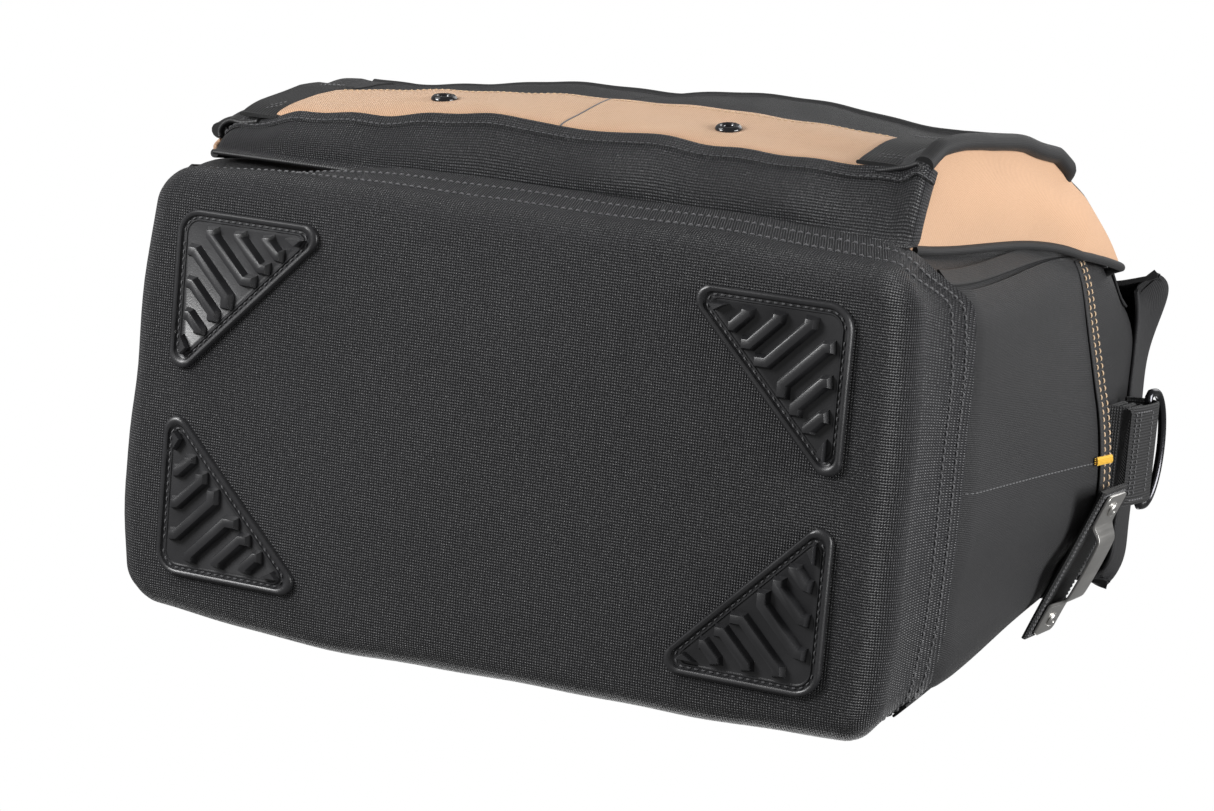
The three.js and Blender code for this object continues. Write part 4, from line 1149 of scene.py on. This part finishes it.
def build_clip():
    out = on_clip([[1, 0, 0]])[0] - on_clip([[0, 0, 0]])[0]
    y = np.linspace(-CLIP_HALF - 2, CLIP_HALF + 2, 50)
    wave = folds(y, 0 * y, 50, 71) * 0.3
    patch = sweep(on_clip(stack(wave, y, -2)), out, tape_section(34, 2.1, 16))
    add_piece("clip_backing_webbing", patch, "webbing_black", stands_for=["clip_webbing"])
    rows = [stitches(on_clip(stack(wave + 2.1, y, z)), out, 2.2, 1.7, 0.7, skip=1.5)
            for z in (-17.2, -15.2, 13.2)]
    for end in (-1, 1):
        line = stack(2.2, end * (CLIP_HALF + 0.2), np.linspace(-17, 13, 30))
        rows.append(stitches(on_clip(line), out, 2.2, 1.7, 0.7))
    add_piece("clip_backing_stitching", join(*rows), "thread_black")

    # One bent strip: a foot at each end, ramps, and a bridge that the tape's hook slides under.
    side_line = [(2.5, -CLIP_HALF), (2.5, -CLIP_HALF + 16), (3.2, -CLIP_HALF + 18), (7.6, -CLIP_HALF + 22.5),
                 (8.3, -CLIP_HALF + 25), (8.6, 0)]
    side_line += [(x, -y) for x, y in reversed(side_line[:-1])]
    line = curve_through([(x, y, 0) for x, y in side_line], 0.8, rounds=3)
    tangent = unit(np.gradient(line, axis=0))
    up_strip = np.column_stack([tangent[:, 1], -tangent[:, 0], 0 * tangent[:, 0]])
    loops = []
    for point, normal in zip(line, up_strip):
        from_end = CLIP_HALF - abs(point[1])
        corner = 3.2 - math.sqrt(max(3.2 ** 2 - max(3.2 - from_end, 0) ** 2, 0))
        half = 12.5 - corner - 1.6 * smooth((from_end - 17) / 6)
        shift = 1.2 * smooth((from_end - 17) / 6)
        section = rounded_rectangle(half, 0.8, 0.35, 3)
        loops.append([point + normal * (0.8 + h) + np.array([0, 0, z + shift]) for z, h in section])
    clip = add_piece("bent_tape_clip", loft([on_clip(loop) for loop in loops]), "clip_steel",
                     stands_for=["tape_clip"], crease=35)
    for end, word in ((-1, "front"), (1, "back")):
        y = end * (CLIP_HALF - 8)
        cut_hole(clip, [on_clip(ring_loop((x, y, 0), (0, 1, 0), UP, 2.7, 4.4)) for x in (0, 14)])
        dome = [(3.0, 2.6), (3.8, 4.3), (3.75, 4.9), (3.2, 5.5), (2.2, 5.85), (1.5, 5.9), (1.2, 5.2),
                (0.05, 5.0)]                                                   # radius, height
        head = loft([on_clip(ring_loop((x, y, 0), (0, 1, 0), UP, r, r)) for r, x in dome])
        add_piece(f"clip_rivet_head_{word}", head, "clip_steel", stands_for=[f"clip_rivet_{word}"], crease=40)


# ---------------------------------------------------------------- strap rings in their tabs
def build_rings():
    fold = [(207.6, 247), (213, 250), (221, 253), (224.6, 258), (226, 268), (226.6, 278), (226.4, 286),
            (223.5, 290.6), (217, 291.6), (211, 290.5), (207.8, 287)]          # x, z of the folded webbing
    line = curve_through([(x, 0, z) for x, z in fold], 0.8, rounds=3)
    tangent = unit(np.gradient(line, axis=0))
    outward = np.column_stack([tangent[:, 2], 0 * tangent[:, 0], -tangent[:, 0]])
    rising = line[:len(line) // 2]

    def tab_stitches(y, z):
        x = np.interp(z, rising[:, 2], rising[:, 0]) + 0.3
        return stitches(stack(x, y, z), (1, 0, 0), 2.6, 1.9, 0.75)

    half = TAB_HALF_Y + RING_WIRE + 1.5
    tilt, reach = 1.45, 20
    flat = [(s * half, 0) for s in np.linspace(-0.93, 0.93, 24)] + [(half, 2), (half, 4)]
    flat += [(half * math.cos(t), 6 + (reach - 6) * math.sin(t)) for t in np.linspace(0, math.pi, 50)]
    flat = np.array(flat + [(-half, 4), (-half, 2)])
    wire = stack(flat[:, 1] * math.cos(tilt), flat[:, 0], flat[:, 1] * math.sin(tilt)) + [PIVOT_X, 0, PIVOT_Z]
    for side, word in ENDS:
        layers = [sweep(line - outward * 2.0, outward, tape_section(2 * TAB_HALF_Y, 2.2, 24))]
        for k in range(3):
            core = stack(208.5 + 5.1 * k, 0, np.linspace(252, 277 - 2 * k, 12))
            layers.append(sweep(core, (1, 0, 0), tape_section(2 * TAB_HALF_Y - 1.5, 4.9, 8)))
        add_piece(f"ring_tab_webbing_{word}", mirrored(join(*layers), side), "webbing_black",
                  stands_for=[f"ring_tab_{word}"])
        rows = [tab_stitches(np.linspace(-22, 22, 60), z) for z in (257.5, 261, 275)]
        rows += [tab_stitches(y, np.linspace(257.5, 275, 20)) for y in (-22, 22)]
        add_piece(f"ring_tab_stitching_{word}", mirrored(join(*rows), side), "thread_black")
        across = (-math.sin(tilt), 0, math.cos(tilt))
        ring = mirrored(sweep(wire, across, round_section(RING_WIRE, sides=16), closed=True), side)
        add_piece(f"bent_wire_ring_{word}", ring, "ring_metal", f"ring_{word}", [f"d_ring_{word}"])


# ---------------------------------------------------------------- zipped top
SEAM_Y = 8.5
TOP_LINE = curve_through([(0, -TOP_HALF_Y + y, z) for y, z in
                          ((0, CREASE_Z + 0.5), (3, CREASE_Z + 13), (13, RIDGE_Z - 6), (30, RIDGE_Z))]
                         + [(0, -SEAM_Y, RIDGE_Z)], 1.5, rounds=3)


def top_line(t):
    """y and z of the closed top's outside: t from 0 at the front crease to 1 at the zip."""
    place = along(TOP_LINE) / along(TOP_LINE)[-1]
    return np.interp(t, place, TOP_LINE[:, 1]), np.interp(t, place, TOP_LINE[:, 2])


def zipper_coil(x0, x1, y, z, phase):
    """One half of a coil zip: a fine wire wound along the tape's edge."""
    pitch = 1.5
    turns = (x1 - x0 - 2) / pitch
    t = np.linspace(0, turns * 2 * math.pi, int(turns * 8))
    x = x0 + 1 + t / (2 * math.pi) * pitch
    path = stack(x, y + 1.5 * np.cos(t + phase), z + 0.85 * np.sin(t + phase))
    return sweep(path, (1, 0, 0.01), round_section(0.45, sides=6))


def build_top_ends():
    start = LID_HALF_X + 0.4
    for side, word in ENDS:
        def surface(u, v):
            half_turn = 1 - np.abs(2 * u - 1)
            way = np.where(u < 0.5, 1, -1)
            y, z = top_line(half_turn)
            y = np.where(np.abs(2 * u - 1) < 0.01, -SEAM_Y * (1 - half_turn) * 50, y) * way
            down = clamp01((v - 0.55) / 0.45)

            # The right end is drawn out past the strap ring to two corners, the front one further.
            ear = np.exp(-((np.abs(y) - 69) / 17) ** 2) * np.exp(-((v - 0.62) / 0.14) ** 2)
            ear = (side > 0) * mix(0.25, 1, 1.0 * (y < 0)) * ear
            x = mix(start, BELLY_X - 7, clamp01(v / 0.55)) + smooth((v - 0.45) / 0.2) * 3
            x = x + down * 2.5 + ear * 10
            sag = folds(x * 1.2, y, 60, 81) * 0.9 * smooth(v * 4)
            y = mix(y, np.interp(u, [0, 0.5, 1], [-TOP_HALF_Y + 1, 0, TOP_HALF_Y - 1]), down ** 1.4)
            round_off = smooth((v - 0.4) / 0.25) * 3 * (1 - down) * (z > CREASE_Z + 6)
            sag = sag * smooth((z - CREASE_Z - 4) / 12)
            z = mix(z, CREASE_Z + 0.5, down ** 1.15) - round_off - sag + ear * 3
            into = np.maximum(np.abs(y) - (TOP_HALF_Y - 20), 0)
            pulled_out = 0.75 * (side > 0) * (y < 0)
            x = x - (20 - np.sqrt(np.maximum(400 - into * into, 0))) * down * (1 - pulled_out)
            return swell(stack(x, y - ear * 9 * (y < 0), z))

        cloth = mirrored(shell(surface, 110, 50, 2.4, flip=True), side)
        add_piece(f"top_end_cloth_{word}", cloth, "poly_black", stands_for=[f"top_end_{word}"])
        x = np.linspace(start + 0.3, BELLY_X - 3, 30)
        tape = sweep(stack(x, 0, RIDGE_Z + 0.2 - smooth((x - 195) / 12)), UP, tape_section(17, 1.2))
        coils = [zipper_coil(start, BELLY_X - 5, way * 1.2, RIDGE_Z + 2.1, way * math.pi / 2)
                 for way in (-1, 1)]
        add_piece(f"zipper_end_tape_{word}", mirrored(join(tape, *coils), side), "zipper_plastic",
                  stands_for=[f"zipper_end_{word}"])
        x = np.linspace(start + 2, BELLY_X - 10, 30)
        rows = [stitches(stack(x, y, RIDGE_Z + 0.1), UP, 3.2, 2.3, 0.7)
                for y in (-SEAM_Y - 2.5, SEAM_Y + 2.5)]
        add_piece(f"top_end_stitching_{word}", mirrored(join(*rows), side), "thread_black")


def build_flaps():
    """Two top flaps with their half of the zip and the wire that keeps the mouth open."""
    def surface(u, v):
        x = mix(-LID_HALF_X, LID_HALF_X, u)
        y, z = top_line(v)
        free = np.sin(math.pi * clamp01(u)) ** 0.7 * smooth(v * 3)
        return stack(x, y, z - free * (0.5 + 0.5 * folds(x, y * 2, 70, 83)))

    run = [(-TOP_HALF_Y + 8.5, CREASE_Z + 5), (-TOP_HALF_Y + 11, CREASE_Z + 12.5),
           (-TOP_HALF_Y + 20, CREASE_Z + 20), (-TOP_HALF_Y + 33, RIDGE_Z - 6.4),
           (-SEAM_Y - 7, RIDGE_Z - 6.4)]                                       # y, z of the wire's end
    ends = LID_HALF_X - 8
    path = [(-ends, y, z) for y, z in run] + [(ends, y, z) for y, z in reversed(run)]
    wire = curve_through(path, 2, rounds=2)
    for way, word in ((1, "front"), (-1, "back")):
        def add(name, part, slot, *stands_for, body=f"flap_{word}"):
            points, faces, cloth = part
            part = points * [1, way, 1], faces, cloth
            add_piece(f"{name}_{word}", part, slot, body, stands_for)

        add("flap_cloth", shell(surface, 120, 40, 2.6), "poly_black", f"lid_{word}")
        x = np.linspace(-LID_HALF_X + 0.5, LID_HALF_X - 0.5, 80)
        tape = sweep(stack(x, -4.4, RIDGE_Z + 0.2), UP, tape_section(7.8, 1.2))
        coil = zipper_coil(-LID_HALF_X, LID_HALF_X, -1.2, RIDGE_Z + 2.1, 0.0 if way > 0 else math.pi)
        add("zipper_half", join(tape, coil), "zipper_plastic", f"zipper_{word}")
        rows = [stitches(surface((x / LID_HALF_X + 1) / 2, 0 * x + place) + [0, 0, 0.1], UP, 3.2, 2.3, 0.7)
                for place in (0.90, 0.95)]
        add("flap_stitching", join(*rows), "thread_black")
        add("mouth_wire", sweep(wire, (0.3, 0.5, 0.8), round_section(2, sides=12)), "frame_steel",
            f"mouth_frame_{word}")
        x = np.linspace(-LID_HALF_X, LID_HALF_X, 90)
        crease = stack(x, -TOP_HALF_Y - 0.4, CREASE_Z + 0.2)
        add("crease_piping", sweep(crease, UP, round_section(1.7, sides=10)), "binding_black", body="bag")


def build_slider():
    low = RIDGE_Z + 4.3
    outline = np.array([(190, -3), (193, -5.2), (196, -5.5), (202, -5.3), (204, -4), (204, 4), (202, 5.3),
                        (196, 5.5), (193, 5.2), (190, 3)])
    middle = outline.mean(axis=0)
    plate = loft([np.column_stack([middle + (outline - middle) * grow, np.full(len(outline), low + h)])
                  for grow, h in ((0.88, 0), (1, 0.4), (1, 1.2), (0.9, 1.7))])
    arch = [(192, 0, low + 1), (193.5, 0, low + 2.4), (196, 0, low + 2.6), (200.5, 0, low + 2.6),
            (202.5, 0, low + 1)]
    bridge = sweep(curve_through(arch, 0.6, rounds=2), (0, 1, 0), round_section(0.6, 1.5, 12))
    add_piece("slider_body", join(plate, bridge), "slider_metal", "slider", ["zipper_slider"])
    low = RIDGE_Z + 8.3
    outer = rounded_rectangle(16, 5.3, 3.5)
    hole = rounded_rectangle(2.2, 2.2, 2)
    centre, hole_at = np.array([180, 0]), np.array([170, 0])
    stops = [(0.5, 0), (0, 0.5), (0, 1.5), (0.5, 2)]
    loops = [np.column_stack([centre + outer * (1 - inset / 9), np.full(len(outer), low + h)])
             for inset, h in stops]
    loops += [np.column_stack([hole_at + hole * (1 + inset / 5), np.full(len(hole), low + h)])
              for inset, h in reversed(stops)]
    pull = loft(loops + loops[:1], capped=False)
    y = np.linspace(-3.4, 3.4, 5)
    grooves = [sweep(stack(x, y, low + 2.0), UP, round_section(0.55, 0.45, 8)) for x in (178, 181, 184, 187)]
    add_piece("pull_tag", join(pull, *grooves), "slider_metal", "pull", ["zipper_pull"])


# ---------------------------------------------------------------- carry handles
PRESSURE, SETTLE_FRAMES = 4, 20


def vertex_places(piece):
    return np.array([v.co[:] for v in piece.data.vertices])


def padded(name, part, slot, body, stands_for, cap, voxel):
    """Stuffs a closed form: a short cloth simulation fills it, and no point moves past the cap."""
    piece = add_piece(name, part, slot, body, stands_for)
    remesh = piece.modifiers.new("remesh", "REMESH")
    remesh.mode, remesh.voxel_size = "VOXEL", voxel * MM
    keep_result(piece)
    start = vertex_places(piece)
    cloth = piece.modifiers.new("cloth", "CLOTH")
    cloth.settings.use_pressure, cloth.settings.uniform_pressure_force = True, PRESSURE
    cloth.settings.effector_weights.gravity = 0
    for frame_number in range(1, SETTLE_FRAMES + 1):
        bpy.context.scene.frame_set(frame_number)
    keep_result(piece)
    bpy.context.scene.frame_set(1)
    move = vertex_places(piece) - start
    far = np.linalg.norm(move, axis=1, keepdims=True)
    end = start + move * np.minimum(1, cap * MM / np.maximum(far, 1e-9))
    piece.data.vertices.foreach_set("co", end.ravel())
    smoother = piece.modifiers.new("smooth", "SUBSURF")
    smoother.levels = smoother.render_levels = 1
    keep_result(piece)
    flat = piece.data.attributes.get("cloth") or piece.data.attributes.new("cloth", "FLOAT_VECTOR", "POINT")
    places = vertex_places(piece) / MM @ np.array([[1, 0, 0], [0, 0.3, 0], [0, 1, 0]])
    flat.data.foreach_set("vector", places.astype(np.float32).ravel())
    piece.data.materials.clear()
    piece.data.materials.append(MATERIALS[slot])
    piece.data.shade_smooth()


def handle_line():
    """Middle of the webbing (x, z), from one sewn end over the top to the other."""
    half = HANDLE_WIDTH / 2
    reach, top, corner = HANDLE_HALF_X - half, HANDLE_TOP - half, 34 - half
    turns = np.linspace(0, math.pi / 2, 14)
    side = [(reach, z) for z in np.linspace(HANDLE_BASE - 1.5, top - corner - 2, 30)]
    side += [(reach - corner + corner * math.cos(t), top - corner + corner * math.sin(t)) for t in turns]
    across = [(x, top) for x in np.linspace(reach - corner - 3, -reach + corner + 3, 30)]
    return np.array(side + across + [(-x, z) for x, z in reversed(side)])


def build_handles():
    line = handle_line()
    grip_z, foot_x = HANDLE_TOP - HANDLE_WIDTH / 2, HANDLE_HALF_X - HANDLE_WIDTH / 2
    for way, word in ((-1, "front"), (1, "back")):
        middle, body = way * 25, f"grab_{word}"

        def round_grip(x, *size):
            loop = rounded_rectangle(*size)
            return stack(x, middle + loop[:, 0], grip_z + loop[:, 1])

        bow = 1.2 * np.sin(math.pi * clamp01((line[:, 1] - HANDLE_BASE) / 90))
        path = stack(line[:, 0], middle - 2.4 + way * bow * 0.5, line[:, 1])
        layers = [sweep(path + [0, h, 0], (0, 1, 0), tape_section(HANDLE_WIDTH, 2.4, 14)) for h in (0, 2.45)]
        add_piece(f"handle_webbing_{word}", join(*layers), "webbing_black", body, [f"handle_{word}"])
        sections = []
        for x in np.linspace(-32, 32, 25):
            grow = 1 - 0.12 * abs(x / 32) ** 6
            sections.append(round_grip(x, 4.2 * grow, 14.6 * grow, 3.4 * grow))
        padded(f"grip_pad_{word}", loft(sections), "grip_fabric", body, [f"handle_grip_{word}"], cap=2.2,
               voxel=2.5)
        rims = [sweep(round_grip(x, 4.6, 14.8, 3.6), (1, 0, 0), round_section(1.1, 2.6, 10), closed=True)
                for x in (-33, 33)]
        add_piece(f"grip_end_binding_{word}", join(*rims), "binding_black", body)
        for side, end in ENDS:
            x = side * foot_x + np.linspace(-14.5, 14.5, 24)
            patch = sweep(stack(x, middle, RIDGE_Z + 0.3), UP, tape_section(16, 2, 10))
            add_piece(f"handle_patch_webbing_{word}_{end}", patch, "webbing_black", f"flap_{word}",
                      [f"handle_patch_{word}_{end}"])
            centre = np.array([side * foot_x, middle, RIDGE_Z + 2.3])
            box = [(-12, -6, 0), (12, -6, 0), (12, 6, 0), (-12, 6, 0), (-12, -6, 0), (12, 6, 0)]
            cross = [(12, -6, 0), (-12, 6, 0)]
            rows = [stitches(centre + run, UP, 2.6, 1.9, 0.7) for run in (box, cross)]
            add_piece(f"handle_patch_stitching_{word}_{end}", join(*rows), "thread_black", f"flap_{word}")


# ---------------------------------------------------------------- camera, floor and light
CAMERA_FROM_BAG = (0.8031, -0.2947, -1.5166)
LIT_POINT = (0, 0, 0.12)
FLOOR_HALF = 2.5


def build_camera():
    """Looks up at the underside from low at the clip end."""
    back = Vector((0.434, -0.156, -0.887)).normalized()
    right = Vector((0.889, -0.086, 0.450))
    right = (right - back * right.dot(back)).normalized()
    up = back.cross(right)
    camera = bpy.data.objects.new("camera", bpy.data.cameras.new("camera"))
    place = Vector(BAG_ORIGIN) + Vector(CAMERA_FROM_BAG)
    camera.matrix_world = Matrix.Translation(place) @ Matrix((right, up, back)).transposed().to_4x4()
    camera.data.sensor_width = 36
    camera.data.lens = 112.7
    camera.data.clip_end = 50
    bpy.context.scene.collection.objects.link(camera)
    bpy.context.scene.camera = camera
    return right, up, back


def add_light(name, direction, distance, size, power):
    """A soft square light that faces the middle of the bag."""
    data = bpy.data.lights.new(name, "AREA")
    data.size, data.energy = size, power
    light = bpy.data.objects.new(name, data)
    light.location = Vector(LIT_POINT) + direction.normalized() * distance
    light.rotation_euler = (-direction).to_track_quat("-Z", "Y").to_euler()
    light.visible_camera = False
    bpy.context.scene.collection.objects.link(light)


def build_studio(right, up, back):
    """White where the camera sees past the bag, dimmer where the world only gives light."""
    world = bpy.data.worlds.new("studio")
    bpy.context.scene.world = world
    world.use_nodes = True
    tree = world.node_tree
    pick = tree.nodes.new("ShaderNodeMixShader")
    tree.links.new(tree.nodes.new("ShaderNodeLightPath").outputs["Is Camera Ray"], pick.inputs[0])
    for socket, (node, strength) in enumerate(((tree.nodes["Background"], 0.23),
                                               (tree.nodes.new("ShaderNodeBackground"), 1.0)), 1):
        node.inputs["Color"].default_value = (1, 1, 1, 1)
        node.inputs["Strength"].default_value = strength
        tree.links.new(node.outputs[0], pick.inputs[socket])
    tree.links.new(pick.outputs[0], tree.nodes["World Output"].inputs[0])
    add_light("light_over_left", -right * 0.9 + up * 1.2 + back * 0.25, 1.5, 0.7, 6)
    add_light("light_camera_left", -right * 0.9 + up * 0.45 + back * 0.5, 1.1, 0.35, 12)
    add_light("light_right", right * 1.25 + up * 0.1 + back * 0.62, 1.5, 0.8, 32)
    add_light("light_top", Vector((0.3, -0.9, 1.4)), 1.9, 1.3, 9)
    add_light("light_behind", Vector((-0.5, 1.2, 1.2)), 1.9, 1.3, 12)
    bpy.context.scene.view_settings.view_transform = "Standard"


def build_floor():
    """Pale floor under the feet; from below it isn't there, so that the underside can be seen."""
    mesh = bpy.data.meshes.new("floor")
    corners = [(x * FLOOR_HALF, y * FLOOR_HALF, 0) for x, y in ((-1, -1), (1, -1), (1, 1), (-1, 1))]
    mesh.from_pydata(corners, [], [(0, 1, 2, 3)])
    floor = bpy.data.objects.new("floor", mesh)
    bpy.context.scene.collection.objects.link(floor)
    material = bpy.data.materials.new("floor")
    material.use_nodes = True
    tree = material.node_tree
    tree.nodes["Principled BSDF"].inputs["Base Color"].default_value = (0.8, 0.8, 0.8, 1)
    tree.nodes["Principled BSDF"].inputs["Roughness"].default_value = 0.6
    clear = tree.nodes.new("ShaderNodeBsdfTransparent")
    pick = tree.nodes.new("ShaderNodeMixShader")
    tree.links.new(tree.nodes.new("ShaderNodeNewGeometry").outputs["Backfacing"], pick.inputs[0])
    tree.links.new(tree.nodes["Principled BSDF"].outputs[0], pick.inputs[1])
    tree.links.new(clear.outputs[0], pick.inputs[2])
    tree.links.new(pick.outputs[0], tree.nodes["Material Output"].inputs["Surface"])
    mesh.materials.append(material)
    floor.visible_shadow = floor.visible_diffuse = floor.visible_glossy = False


# ---------------------------------------------------------------- everything
build_boot()
build_feet()
build_walls()
build_pocket_floor()
build_pocket_front()
build_eyelets()
build_pocket_corners()
build_end_pockets()
build_inside()
build_clip()
build_rings()
build_top_ends()
build_flaps()
build_slider()
build_handles()
build_studio(*build_camera())
build_floor()
